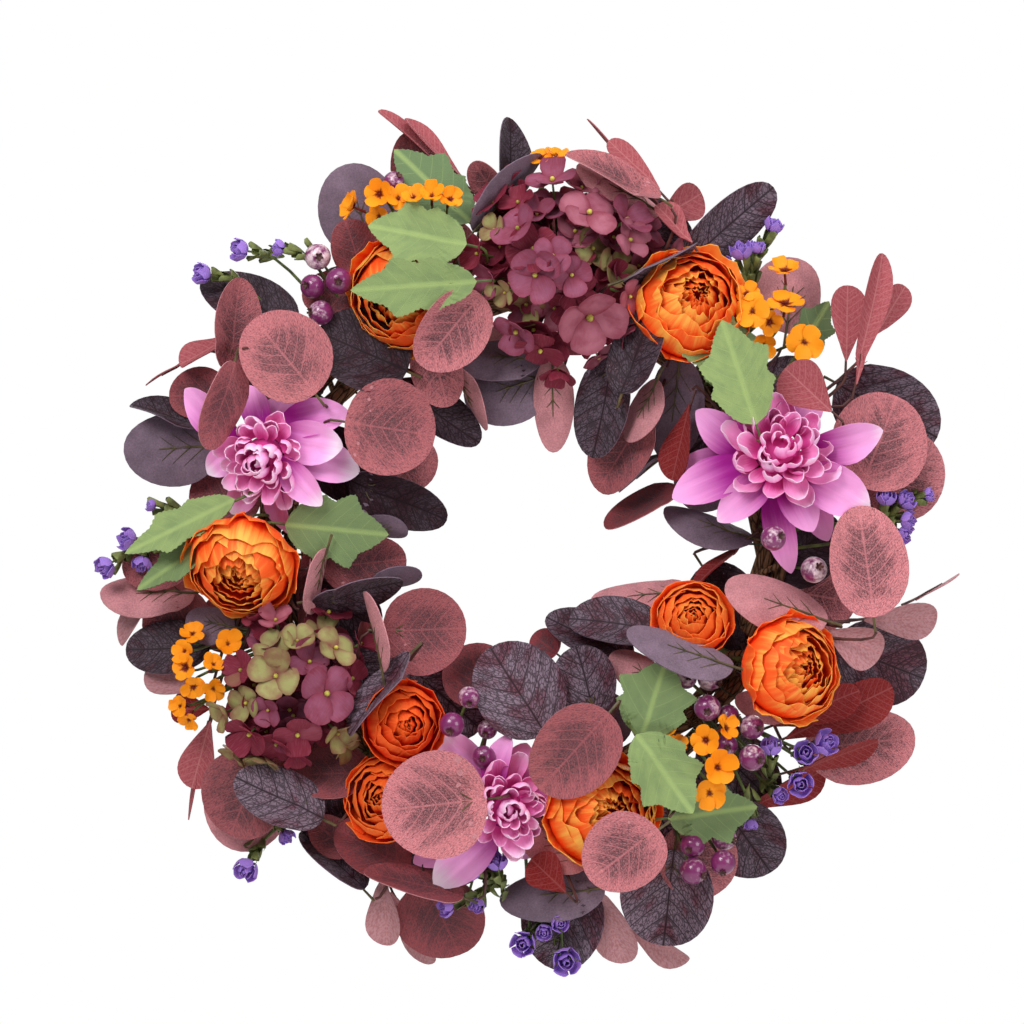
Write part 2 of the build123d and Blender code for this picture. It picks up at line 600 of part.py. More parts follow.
def backing_leaves(first, last):
    """Plain leaves that lie near the door, by turns outwards and inwards from the ring."""
    span = (last - first) % 360
    leaves = []
    for i in range(int(span // BACKING_STEP) + 1):
        clock = math.radians(first + i * BACKING_STEP)
        outward = i % 2 == 0
        near, far = (162, 206) if outward else (136, 98)
        x, z = math.sin(clock), math.cos(clock)
        roll = 20 if outward else 160
        leaves.append((near * x, near * z, far * x, far * z, BACKING_WIDTH, 13 + 3 * (i % 3), -3, roll))
    return leaves


def ring_root(leaves):
    """Where the stem of a group is pushed into the ring: the mean of its places, drawn to the bundle."""
    x = sum(leaf[0] for leaf in leaves) / len(leaves)
    z = sum(leaf[1] for leaf in leaves) / len(leaves)
    return on_ring(clock_of(x, z), RING_RADIUS, RING_LIFT + CANE_ORBIT)


def make_sprays(kind, sprays, outline):
    """Writes one node of blades for each spray, and returns the sprays' stems."""
    stems = []
    for sector, leaves in sprays.items():
        everything = list(leaves)
        if (kind, sector) in BACKING:
            everything += backing_leaves(*BACKING[(kind, sector)])
        made = [placed_leaf(leaf, outline) for leaf in everything]
        save(f"{kind}_leaves_{sector}", [solid for solid, _ in made])
        stems += branching_stem(ring_root(leaves), [tip for _, tip in made], STEM_RADIUS)
    return stems


# ---------------------------------------------------------------- flowers
def turned_head(profile, radius):
    """A head turned about Z from a half profile in shares of its radius, on a short stub."""
    points = [(r * radius, h * radius) for r, h in profile]
    with BuildPart() as head:
        with BuildSketch(Plane.XZ):
            with BuildLine():
                edge = Spline(*points)
                Line(edge @ 1, edge @ 0)
            make_face()
        revolve(axis=Axis.Z)
        with BuildSketch(Plane.XY.offset(points[0][1] + 1)):
            Circle(STUB_RADIUS)
        extrude(amount=-STUB_LENGTH - 1)
    return head.part


PEONY_PROFILE = [(0, -0.72), (0.62, -0.5), (1.0, 0.05), (0.72, 0.6), (0, 0.72)]
ROSE_PROFILE = [(0, -0.62), (0.7, -0.4), (1.0, 0.1), (0.66, 0.46), (0, 0.55)]
HEART_PROFILE = [(0, -0.5), (0.8, -0.3), (1.0, 0.1), (0.7, 0.62), (0, 0.85)]


def make_heads(kind, heads, profile):
    """Writes one node for each flower head, and returns the heads' stems."""
    stems = []
    for place, (x, z, lift, radius, way) in heads.items():
        axis = facing(*way)
        middle = spot(x, z, lift)
        head = turned_head(profile, radius).moved(head_plane(middle, axis).location)
        save(f"{kind}_{place}", [head])
        neck = middle + axis * (profile[0][1] * radius - STUB_LENGTH)
        stems += branching_stem(ring_root([(x, z)]), [(neck, axis)], STUB_RADIUS)
    return stems


def make_dahlia_rays():
    """Writes one node of separate ray petals for each dahlia. Their claws run into the heart."""
    for place, rays in DAHLIA_RAYS.items():
        save(f"dahlia_rays_{place}", [placed_leaf(ray, RAY)[0] for ray in rays])


def floret(radius, reach):
    """Four round petals that face +Z, on a pedicel that runs down towards the hub."""
    lobe = radius * FLORET_LOBE_SHARE
    with BuildPart() as flower:
        with BuildSketch():
            with PolarLocations(radius - lobe, 4):
                Circle(lobe)
        extrude(amount=PETAL_THICKNESS / 2, both=True)
        with BuildSketch():
            Circle(PEDICEL_RADIUS)
        extrude(amount=-reach)
    return flower.part


def make_hydrangeas():
    """Writes the florets and the hub of each head, and returns the stems."""
    stems = []
    for place, (x, z, lift, depth, spread) in HYDRANGEAS.items():
        hub = spot(x, z, lift)
        with BuildPart(Plane(origin=hub)) as ball:
            Sphere(HUB_RADIUS)
        solids = [ball.part]
        for fx, fz, radius, sunk in FLORETS[place]:
            across = min(math.hypot(fx - x, fz - z) / spread, 1)
            out = depth * math.sqrt(1 - 0.94 * across**2) - sunk
            offset = Vector(fx - x, -out, fz - z)
            plane = head_plane(hub + offset, offset.normalized())
            solids.append(floret(radius, offset.length - HUB_RADIUS + 0.5).moved(plane.location))
        save(f"hydrangea_{place}", solids)
        neck = hub + Vector(0, HUB_RADIUS - 0.5, 0)
        stems += branching_stem(ring_root([(x, z)]), [(neck, Vector(0, -1, 0))], STUB_RADIUS)
    return stems


# ---------------------------------------------------------------- berries and small flowers
def berry(radius):
    """A moulded ball with its stalk along -Z."""
    with BuildPart() as ball:
        Sphere(radius)
        with BuildSketch(Plane.XY.offset(-radius + 0.5)):
            Circle(PEDICEL_RADIUS)
        extrude(amount=-STALK_LENGTH)
    return ball.part


def blossom(radius):
    """Five small round petals that face +Z, on a tube."""
    with BuildPart() as flower:
        with BuildSketch():
            with PolarLocations(radius * 0.56, 5):
                Circle(radius * 0.44)
            Circle(radius * 0.3)
        extrude(amount=PETAL_THICKNESS / 2, both=True)
        with BuildSketch():
            Circle(PEDICEL_RADIUS)
        extrude(amount=-STALK_LENGTH - 2)
    return flower.part


def bud(radius):
    """A half-open bud, an open cup of pointed petals drawn as one cone, on its stalk."""
    with BuildPart() as cup:
        with BuildSketch(Plane.XZ):
            with BuildLine():
                Polyline((0, -radius), (radius * 0.35, -radius * 0.8), (radius * 0.8, radius * 0.4),
                         (radius * 0.5, radius), (0, radius * 0.7), close=True)
            make_face()
        revolve(axis=Axis.Z)
        with BuildSketch(Plane.XY.offset(-radius + 0.5)):
            Circle(PEDICEL_RADIUS)
        extrude(amount=-STALK_LENGTH)
    return cup.part


def make_picks(kind, picks, make, drop):
    """Writes one node of heads for each pick, and returns the picks' stems.

    drop gives how far below a head's middle its stalk ends.
    """
    stems = []
    for place, heads in picks.items():
        solids = []
        tips = []
        for x, z, lift, radius, *way in heads:
            outward = facing(x * PICK_SPREAD, PICK_FORWARD, z * PICK_SPREAD)
            axis = facing(*way[0]) if way else outward
            middle = spot(x, z, lift)
            solids.append(make(radius).moved(head_plane(middle, axis).location))
            tips.append((middle - axis * drop(radius), axis))
        save(f"{kind}_{place}", solids)
        stems += branching_stem(ring_root(heads), tips, PEDICEL_RADIUS)
    return stems


def make_green_picks():
    """Writes the lobed leaves of each flower pick, and returns their stems."""
    stems = []
    for place, leaves in GREEN_PICKS.items():
        made = [placed_leaf(leaf, LOBED) for leaf in leaves]
        save(f"green_leaves_{place}", [solid for solid, _ in made])
        stems += branching_stem(ring_root(leaves), [tip for _, tip in made], STEM_RADIUS)
    return stems


def main():
    os.makedirs("parts", exist_ok=True)
    make_canes()
    make_ties()
    make_hanging_loop()
    leaf_stems = make_sprays("red", RED_SPRAYS, ROUND)
    leaf_stems += make_sprays("plum", PLUM_SPRAYS, ROUND)
    leaf_stems += make_sprays("paddle", PADDLE_SPRAYS, PADDLE)
    save("leaf_stems", leaf_stems)
    flower_stems = make_heads("peony", PEONIES, PEONY_PROFILE)
    flower_stems += make_heads("rose", ROSES, ROSE_PROFILE)
    flower_stems += make_heads("dahlia_heart", DAHLIA_HEARTS, HEART_PROFILE)
    make_dahlia_rays()
    flower_stems += make_hydrangeas()
    flower_stems += make_green_picks()
    flower_stems += make_picks("berries", BERRY_PICKS, berry, lambda r: r - 0.5 + STALK_LENGTH)
    flower_stems += make_picks("blossoms", BLOSSOM_PICKS, blossom, lambda r: STALK_LENGTH + 2)
    flower_stems += make_picks("violets", VIOLET_PICKS, bud, lambda r: r - 0.5 + STALK_LENGTH)
    save("flower_stems", flower_stems)


main()
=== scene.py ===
"""The looks of a harvest door wreath: cloth leaves, cloth flowers and berries on a vine ring."""

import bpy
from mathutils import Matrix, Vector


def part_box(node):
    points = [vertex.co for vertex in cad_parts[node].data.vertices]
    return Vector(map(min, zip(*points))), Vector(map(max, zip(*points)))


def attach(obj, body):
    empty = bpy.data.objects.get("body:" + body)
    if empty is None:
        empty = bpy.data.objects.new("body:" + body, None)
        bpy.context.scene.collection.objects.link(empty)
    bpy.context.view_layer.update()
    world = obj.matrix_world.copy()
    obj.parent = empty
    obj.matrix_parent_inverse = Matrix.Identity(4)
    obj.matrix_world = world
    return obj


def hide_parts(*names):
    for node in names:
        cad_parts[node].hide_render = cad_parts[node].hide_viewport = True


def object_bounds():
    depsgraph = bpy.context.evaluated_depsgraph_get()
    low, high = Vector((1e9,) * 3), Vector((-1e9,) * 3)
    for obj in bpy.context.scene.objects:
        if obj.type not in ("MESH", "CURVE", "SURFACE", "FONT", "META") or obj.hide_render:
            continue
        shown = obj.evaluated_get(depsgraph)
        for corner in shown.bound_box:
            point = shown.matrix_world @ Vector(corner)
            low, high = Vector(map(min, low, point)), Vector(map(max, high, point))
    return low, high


bl_info = {
    "name": "Harvest Door Wreath",
    "version": (1, 0, 0),
    "blender": (4, 5, 0),
    "location": "View3D > Sidebar > Wreath",
    "description": "Makes the leaves, flowers, berries and stems of a harvest door wreath round its frame",
    "category": "Add Mesh",
}

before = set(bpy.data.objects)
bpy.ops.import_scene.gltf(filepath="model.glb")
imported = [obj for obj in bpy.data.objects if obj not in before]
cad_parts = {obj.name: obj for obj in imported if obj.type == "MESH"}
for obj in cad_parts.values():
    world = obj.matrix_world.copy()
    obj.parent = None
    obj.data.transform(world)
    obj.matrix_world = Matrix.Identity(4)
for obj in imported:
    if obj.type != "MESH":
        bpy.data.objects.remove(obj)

import math
import zlib

import bpy
import numpy as np
from mathutils import Vector
from mathutils.bvhtree import BVHTree
from bpy.props import FloatProperty, FloatVectorProperty, PointerProperty
from bpy.types import Operator, Panel, PropertyGroup

MM = 0.001
CAD_BOX = [list(corner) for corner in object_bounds()]
NODES = sorted(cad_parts)

PETIOLE = 9 * MM  # the stalk of a leaf in the frame, from its end to the blade
RIB_DEPTH = 1.0 * MM  # a point further than this behind the blade belongs to its rib
PRINT_SCALE = 1000.0  # a blade's UV map is in millimetres


# ---------------------------------------------------------------- colours
def linear(hex_colour):
    """An sRGB hex value as linear red, green and blue."""
    shares = [int(hex_colour[i:i + 2], 16) / 255 for i in (1, 3, 5)]
    return tuple(c / 12.92 if c <= 0.04045 else ((c + 0.055) / 1.055) ** 2.4 for c in shares)


def colour(name, description, hex_colour):
    """A colour that a user may change, with its default as an sRGB hex value."""
    return FloatVectorProperty(name=name, description=description, subtype="COLOR", min=0, max=1,
                               default=linear(hex_colour))


def length(name, description, millimetres):
    """A length that a user may change, with its default in millimetres."""
    return FloatProperty(name=name, description=description, unit="LENGTH", min=0,
                         default=millimetres * MM)


class WREATH_PG_sizes(PropertyGroup):
    cloth: length("Cloth", "Thickness of the stiffened cloth of the leaves", 0.6)
    petal: length("Petal", "Thickness of the cloth of the petals", 0.4)
    leaf_cup: FloatProperty(name="Leaf cup", default=0.11, min=-0.5, max=0.5,
                            description="How far a leaf's rim stands up, as a share of its width")
    stem: length("Stem", "Radius of a leaf's stem at the ring", 1.5)
    twig: length("Twig", "Radius of a stem where it meets its leaf or head", 0.8)
    rib: length("Rib", "Radius of the moulded rib behind a leaf, at the stalk", 0.8)


class WREATH_PG_colours(PropertyGroup):
    red_face: colour("Red leaf", "Face of the red leaves", "#E28C92")
    red_stroke: colour("Red leaf stroke", "Strokes printed on the red leaves", "#52383E")
    # painted shade, partly real dye: the darker red leaves are drawn towards this wine red, partly for their
    # own colour and partly for the shadow they lie in
    red_shade: colour("Red leaf shade", "Shaded parts of the red leaves", "#80282E")
    red_back: colour("Red leaf back", "Back of the red leaves", "#C4848A")
    plum_face: colour("Plum leaf", "Face of the plum leaves", "#8C7888")
    plum_crackle: colour("Plum crackle", "Crackle printed on the plum leaves", "#1C0A12")
    plum_fleck: colour("Plum fleck", "Wine-red patches of the plum leaves", "#6A2436")
    plum_back: colour("Plum leaf back", "Back of the plum leaves", "#7A6676")
    paddle_rose: colour("Paddle rose", "Rose paddle leaves", "#A8545C")
    paddle_mauve: colour("Paddle mauve", "Mauve paddle leaves", "#B98A90")
    paddle_wine: colour("Paddle wine", "Wine-red paddle leaves", "#7E1C1E")
    paddle_vein: colour("Paddle vein", "Veins of the paddle leaves", "#D08E8C")
    green_light: colour("Light green", "Light lobed leaves", "#90A468")
    green_dark: colour("Dark green", "Dark lobed leaves", "#647A56")
    green_vein: colour("Green vein", "Midrib of the lobed leaves", "#A6BC74")
    rib: colour("Rib", "Moulded ribs behind the leaves", "#5A4E30")
    stem_brown: colour("Brown stem", "Stems of the leaves", "#54302C")
    stem_green: colour("Green stem", "Stems of the flowers", "#5C6A34")
    peony_deep: colour("Peony base", "Base of a peony petal", "#F21C04")
    peony_mid: colour("Peony", "Middle of a peony petal", "#FF5A1C")
    peony_tip: colour("Peony tip", "Edge of a peony petal", "#FFB850")
    rose_deep: colour("Rose base", "Base of a rose petal", "#E62A08")
    rose_mid: colour("Rose", "Rose petals", "#FF6A28")
    ray: colour("Ray petal", "Ray petals of the dahlias", "#FAA8E2")
    ray_tip: colour("Ray tip", "Tips of the ray petals", "#FFE4F8")
    ray_throat: colour("Ray throat", "Throats of the ray petals", "#A81C94")
    heart: colour("Heart", "Curled petals of a dahlia's heart", "#FFA0DA")
    heart_deep: colour("Heart shade", "Depth of a dahlia's heart", "#DC4CA0")
    floret_mauve: colour("Mauve floret", "Mauve hydrangea florets", "#93506A")
    floret_pink: colour("Pink floret", "Pink hydrangea florets", "#AC6678")
    floret_wine: colour("Wine floret", "Wine-red hydrangea florets", "#7C2438")
    floret_green: colour("Green floret", "Green hydrangea florets", "#9E9C62")
    floret_eye: colour("Floret eye", "Eyes of the florets", "#C2B64C")
    berry_pale: colour("Berry", "Pale side of the berries", "#ECCFD8")
    berry_violet: colour("Berry violet", "Violet side of the berries", "#7C2862")
    blossom: colour("Blossom", "Petals of the yellow blossoms", "#FF9A16")
    blossom_eye: colour("Blossom eye", "Eyes and tubes of the yellow blossoms", "#6E1E0C")
    violet: colour("Violet", "Petals of the violet buds", "#A07CD4")
    violet_deep: colour("Violet shade", "Depth of the violet buds", "#5E3CA0")
    olive: colour("Olive leaf", "Small leaves of the violet picks", "#747C44")
    bark: colour("Bark", "Bark of the vine", "#7A5A40")
    bark_dark: colour("Bark cracks", "Cracks in the bark", "#3A281C")
    tie: colour("Florist's wire", "Paper on the florist's wire", "#3F4C34")
    zinc: colour("Zinc", "Zinc of the hanging loop", "#A9A7A0")


def sizes():
    """The sizes that a user may change."""
    return bpy.context.scene.wreath_sizes


def colours():
    """The colours that a user may change."""
    return bpy.context.scene.wreath_colours


# ---------------------------------------------------------------- numpy surfaces
def unit(vectors):
    """The vectors at length 1."""
    vectors = np.asarray(vectors, float)
    return vectors / np.maximum(np.linalg.norm(vectors, axis=-1, keepdims=True), 1e-12)


def draws(name):
    """A random generator of that name, the same on each run."""
    return np.random.default_rng(zlib.crc32(name.encode()))


SHARP_EDGE = math.radians(50)


class Skin:
    """Gathers surfaces, and makes them one mesh object with a UV map and a tint for each point."""

    def __init__(self):
        self.points = []
        self.faces = []
        self.finishes = []
        self.maps = []
        self.tints = []
        self.rims = []
        self.count = 0

    def add(self, points, faces, finish, uv=None, tint=0.0, rim=0.0):
        """faces is a list of index arrays, each with three or four columns."""
        for block in faces:
            self.faces += (block + self.count).tolist()
            self.finishes += [finish] * len(block)
        self.points.append(points)
        self.maps.append(np.zeros((len(points), 2)) if uv is None else uv)
        self.tints.append(np.full(len(points), tint) if np.isscalar(tint) else tint)
        self.rims.append(np.full(len(points), rim) if np.isscalar(rim) else rim)
        self.count += len(points)

    def make(self, name, materials):
        """The mesh object of what was gathered, smooth but for edges sharper than SHARP_EDGE."""
        mesh = bpy.data.meshes.new(name)
        mesh.from_pydata(np.concatenate(self.points), [], self.faces)
        for material in materials:
            mesh.materials.append(material)
        mesh.polygons.foreach_set("material_index", self.finishes)
        corners = np.zeros(len(mesh.loops), int)
        mesh.loops.foreach_get("vertex_index", corners)
        layer = mesh.uv_layers.new(name="Print")
        layer.data.foreach_set("uv", np.concatenate(self.maps)[corners].astype(np.float32).ravel())
        for name_of, values in (("tint", self.tints), ("rim", self.rims)):
            layer = mesh.attributes.new(name_of, "FLOAT", "POINT")
            layer.data.foreach_set("value", np.concatenate(values).astype(np.float32))
        mesh.polygons.foreach_set("use_smooth", [True] * len(mesh.polygons))
        mesh.set_sharp_from_angle(angle=SHARP_EDGE)
        piece = bpy.data.objects.new(name, mesh)
        bpy.context.scene.collection.objects.link(piece)
        return piece


def strip(lower, upper):
    """Quads between two closed rings of indices, facing out where upper lies above lower."""
    return np.stack([lower, np.roll(lower, -1), np.roll(upper, -1), upper], axis=1)


def fan(centre, ring):
    """Triangles from a centre to a closed ring of indices that turns anticlockwise."""
    return np.stack([np.full(len(ring), centre), ring, np.roll(ring, -1)], axis=1)


def disc_shell(edge, centre, rings, height, thickness):
    """A thin closed sheet over a star-shaped outline.

    A point is the centre plus a share of the way to the edge, for shares from 0 to 1. Its height is
    height(x, y), and the sheet runs from half the thickness above it to half below.
    Returns the points, the front faces, the back faces, the rim faces, the flat (x, y) and each
    point's share.
    """
    count = len(edge)
    shares = np.linspace(0, 1, rings + 1)[1:] ** 0.8
    flat = centre + shares[:, None, None] * (edge - centre)
    flat = np.concatenate([[centre], flat.reshape(-1, 2)])
    level = height(flat[:, 0], flat[:, 1])
    front = np.column_stack([flat, level + thickness / 2])
    back = np.column_stack([flat, level - thickness / 2])
    ring = 1 + np.arange(rings)[:, None] * count + np.arange(count)
    top = [fan(0, ring[0])] + [strip(inner, outer)[:, ::-1] for inner, outer in zip(ring, ring[1:])]
    size = len(flat)
    under = [block[:, ::-1] + size for block in top]
    rim = [strip(ring[-1] + size, ring[-1])]
    share = np.concatenate([[0], np.repeat(shares, count)])
    return np.concatenate([front, back]), top, under, rim, np.tile(flat, (2, 1)), np.tile(share, 2)


def patch_shell(grid, thickness):
    """A thin closed sheet on a grid of points, n by m by 3.

    The normal is the cross product of the steps along the grid's rows and columns, and the sheet
    runs half the thickness each way from the grid. Returns points and faces.
    """
    along = np.gradient(grid, axis=0)
    across = np.gradient(grid, axis=1)
    normal = unit(np.cross(along, across))
    n, m = grid.shape[:2]
    index = np.arange(n * m).reshape(n, m)
    quads = np.stack([index[:-1, :-1], index[1:, :-1], index[1:, 1:], index[:-1, 1:]], axis=-1)
    quads = quads.reshape(-1, 4)
    edge = np.concatenate([index[:-1, 0], index[-1, :-1], index[:0:-1, -1], index[0, :0:-1]])
    points = np.concatenate([(grid + normal * thickness / 2).reshape(-1, 3),
                             (grid - normal * thickness / 2).reshape(-1, 3)])
    return points, [quads, quads[:, ::-1] + n * m, strip(edge + n * m, edge)]


TUBE_SIDES = 6


def tube(path, radii):
    """A closed round tube: at each point of the path, a circle of the radius there.

    The circle lies across the path's direction, which is the difference of the points each side.
    """
    path = np.asarray(path, float)
    direction = unit(np.gradient(path, axis=0))
    overall = unit(path[-1] - path[0])
    guide = np.eye(3)[np.argmin(np.abs(overall))]
    first = unit(np.cross(direction, guide))
    second = np.cross(direction, first)
    turn = np.arange(TUBE_SIDES) * 2 * np.pi / TUBE_SIDES
    circle = first[:, None] * np.cos(turn)[:, None] + second[:, None] * np.sin(turn)[:, None]
    wall = path[:, None] + circle * np.broadcast_to(radii, len(path))[:, None, None]
    points = np.concatenate([wall.reshape(-1, 3), path[:1], path[-1:]])
    ring = np.arange(len(path))[:, None] * TUBE_SIDES + np.arange(TUBE_SIDES)
    faces = [strip(low, high) for low, high in zip(ring, ring[1:])]
    faces += [fan(len(points) - 2, ring[0][::-1]), fan(len(points) - 1, ring[-1])]
    return points, faces


def lathe(profile, sides):
    """A closed turned surface: each (radius, height) of the profile, from bottom to top, makes a
    ring about Z. The first and last are poles."""
    profile = np.asarray(profile, float)
    turn = np.arange(sides) * 2 * np.pi / sides
    rings = np.stack([profile[1:-1, :1] * np.cos(turn), profile[1:-1, :1] * np.sin(turn),
                      np.repeat(profile[1:-1, 1:], sides, axis=1)], axis=-1)
    points = np.concatenate([rings.reshape(-1, 3), [[0, 0, profile[0, 1]], [0, 0, profile[-1, 1]]]])
    ring = np.arange(len(profile) - 2)[:, None] * sides + np.arange(sides)
    faces = [strip(low, high) for low, high in zip(ring, ring[1:])]
    faces += [fan(len(points) - 2, ring[0][::-1]), fan(len(points) - 1, ring[-1])]
    return points, faces


def hermite(start, leave, end, arrive, count):
    """A curve from start to end that leaves and arrives along those vectors: the cubic Hermite sum."""
    t = np.linspace(0, 1, count)[:, None]
    return ((2 * t**3 - 3 * t**2 + 1) * start + (t**3 - 2 * t**2 + t) * leave
            + (3 * t**2 - 2 * t**3) * end + (t**3 - t**2) * arrive)


def placed(points, origin, x_axis, y_axis, z_axis):
    """Local points in the row frame."""
    return origin + points[:, :1] * x_axis + points[:, 1:2] * y_axis + points[:, 2:3] * z_axis


def axes_about(axis, turn):
    """Two directions across an axis, turned by an angle, that make a right-handed set with it."""
    axis = unit(axis)
    guide = np.array([1.0, 0, 0]) if abs(axis[0]) < 0.8 else np.array([0, 0, 1.0])
    first = unit(guide - axis * (guide @ axis))
    second = np.cross(axis, first)
    return (first * math.cos(turn) + second * math.sin(turn),
            second * math.cos(turn) - first * math.sin(turn))


# ---------------------------------------------------------------- reading the frame
def solids_of(node):
    """The separate solids of a CAD node, each as its points and triangles.

    Points closer than a hundredth of a millimetre are one point. Each point starts as its own
    group, and each triangle gives its corners the lowest group among them until nothing changes.
    """
    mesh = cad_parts[node].data
    mesh.calc_loop_triangles()
    loose = np.zeros(len(mesh.vertices) * 3)
    mesh.vertices.foreach_get("co", loose)
    corners = np.zeros(len(mesh.loop_triangles) * 3, int)
    mesh.loop_triangles.foreach_get("vertices", corners)
    points, same = np.unique(np.round(loose.reshape(-1, 3), 5), axis=0, return_inverse=True)
    triangles = same.ravel()[corners].reshape(-1, 3)
    group = np.arange(len(points))
    while True:
        lowest = group[triangles].min(axis=1)
        merged = group.copy()
        for column in range(3):
            np.minimum.at(merged, triangles[:, column], lowest)
        merged = merged[merged]
        if (merged == group).all():
            break
        group = merged
    found = []
    for label in np.unique(group[triangles[:, 0]]):
        chosen = triangles[group[triangles[:, 0]] == label]
        used, local = np.unique(chosen, return_inverse=True)
        found.append((points[used], local.reshape(-1, 3)))
    return found


def area_centre(points, triangles):
    """The centre of a surface's area, twice the area of each triangle, and the same as vectors along
    the triangles' normals."""
    corner = points[triangles]
    cross = np.cross(corner[:, 1] - corner[:, 0], corner[:, 2] - corner[:, 0])
    area = np.linalg.norm(cross, axis=1)
    return (corner.mean(axis=1) * area[:, None]).sum(0) / area.sum(), area, cross


def middle_and_plate_normal(points, triangles):
    """The area's centre, and the direction that most of the area faces, either way."""
    middle, area, cross = area_centre(points, triangles)
    spread = (cross[:, :, None] * cross[:, None, :] / np.maximum(area, 1e-15)[:, None, None]).sum(0)
    return middle, np.linalg.eigh(spread)[1][:, -1]


def read_blade(points, triangles):
    """The place of a blade: its stalk end, its directions along, across and out of its face, its
    length and its width. The rib lies behind the face, and its far end is the stalk end."""
    middle, normal = middle_and_plate_normal(points, triangles)
    height = (points - middle) @ normal
    if height.max() > -height.min():
        normal, height = -normal, -height
    rib = points[height < -RIB_DEPTH]
    reach = np.linalg.norm(rib - middle, axis=1)
    stalk = rib[reach > reach.max() - 1.5 * MM].mean(axis=0)
    along = middle - stalk
    along = unit(along - normal * (along @ normal))
    side = np.cross(normal, along)
    base = middle + along * ((stalk - middle) @ along + PETIOLE)
    extent = (points - base) @ along
    half_width = np.abs((points - base) @ side).max()
    return {"base": base, "along": along, "side": side, "normal": normal,
            "length": extent.max(), "width": 2 * half_width}


def read_head(points, triangles):
    """The place of a head on a straight stalk: its middle, the way it faces, its radius and the end
    of its stalk, which is the point furthest from its middle."""
    middle, _, _ = area_centre(points, triangles)
    reach = np.linalg.norm(points - middle, axis=1)
    neck = points[reach > reach.max() - 0.4 * MM].mean(axis=0)
    axis = unit(middle - neck)
    offset = points - middle
    across = np.linalg.norm(offset - (offset @ axis)[:, None] * axis, axis=1)
    return {"middle": middle, "axis": axis, "radius": across.max(), "neck": neck}


def read_floret(points, triangles):
    """The place of a flat floret on a stalk: the stalk lies behind the side that most area faces."""
    middle, normal = middle_and_plate_normal(points, triangles)
    height = (points - middle) @ normal
    if height.max() > -height.min():
        normal, height = -normal, -height
    neck = points[height < height.min() + 0.3 * MM].mean(axis=0)
    plate = points[height > height.max() - 1.2 * MM]
    centre = neck + normal * ((plate.mean(axis=0) - neck) @ normal)
    radius = np.linalg.norm(plate - centre, axis=1).max()
    return {"middle": centre, "axis": normal, "radius": radius, "neck": neck}


def nodes_named(start):
    """The CAD nodes whose names start so."""
    return [node for node in NODES if node.startswith(start)]


def ring_facts():
    """The middle of the vine ring, its radius and the depth of its front, from the canes."""
    corners = np.array([[list(corner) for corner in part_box(node)] for node in nodes_named("vine_cane")])
    low, high = corners[:, 0].min(axis=0), corners[:, 1].max(axis=0)
    middle = (low + high) / 2
    tube_radius = (high[1] - low[1]) / 2
    return middle, (high[0] - low[0]) / 2 - tube_radius, low[1]


RING_MIDDLE, RING_RADIUS, RING_FRONT = ring_facts()


def face_share(point):
    """Where a point lies on the wreath's face: x and z from the ring's middle, in ring radii."""
    return (point[0] - RING_MIDDLE[0]) / RING_RADIUS, (point[2] - RING_MIDDLE[2]) / RING_RADIUS


def nearest(spots, point):
    """The value of the spot nearest a point. A spot is x, z and value, in ring radii."""
    x, z = face_share(point)
    return min(spots, key=lambda spot: (spot[0] - x) ** 2 + (spot[1] - z) ** 2)[2]


# ---------------------------------------------------------------- outlines
def steps_round(count):
    """Steps round a blade of length 1 from its stalk: angles a, and places x = (1 - cos a) / 2."""
    a = np.arange(count) * 2 * np.pi / count
    return a, (1 - np.cos(a)) / 2


def round_outline(width_share):
    """A silver-dollar blade of length 1: its half width is sin a to the 0.94, a little fuller towards
    the stalk, so that the tip is drawn out slightly."""
    a, x = steps_round(30)
    y = np.sign(np.sin(a)) * np.abs(np.sin(a)) ** 0.94 * (1 + 0.07 * np.cos(a))
    return np.column_stack([x, -y * width_share / 2])


def paddle_outline(width_share):
    """A spoon-shaped blade of length 1: its half width is the square root of the sine of pi times x
    squared, so that it is widest at 0.7, round at the tip and narrows to the stalk."""
    a, x = steps_round(32)
    y = np.sqrt(np.sin(np.pi * x**2)) * 0.97 + 0.03
    y = y * np.sign(np.sin(a)) * (np.abs(np.sin(a)) > 1e-9)
    return np.column_stack([x, -y * width_share / 2])


def ray_outline(width_share):
    """A pointed ray petal of length 1: its half width is x to the 0.8 times 1 - x to the 0.72,
    scaled to reach 1, so that it narrows to a point."""
    a, x = steps_round(28)
    y = x**0.8 * (1 - x) ** 0.72 / 0.3495
    return np.column_stack([x, -y * np.sign(np.sin(a)) * width_share / 2])


# Corners of a lobed leaf down one side, as x and half width: the tip, then lobes and bays by turns.
LOBE_CORNERS = ((1.0, 0.0), (0.965, 0.13), (0.91, 0.27), (0.84, 0.42), (0.78, 0.52), (0.745, 0.54),
                (0.715, 0.66), (0.68, 0.84), (0.65, 1.0), (0.58, 0.94), (0.50, 0.82), (0.455, 0.74),
                (0.42, 0.80), (0.36, 0.92), (0.30, 0.80), (0.20, 0.68), (0.12, 0.55), (0.05, 0.34),
                (0.0, 0.0))
TOOTH = 0.045  # the length of a tooth of the edge, as a share of the leaf's length
TOOTH_RISE = 0.42  # how far a tooth stands out, as a share of its length
LOBED_STEPS = 152  # points round a lobed leaf


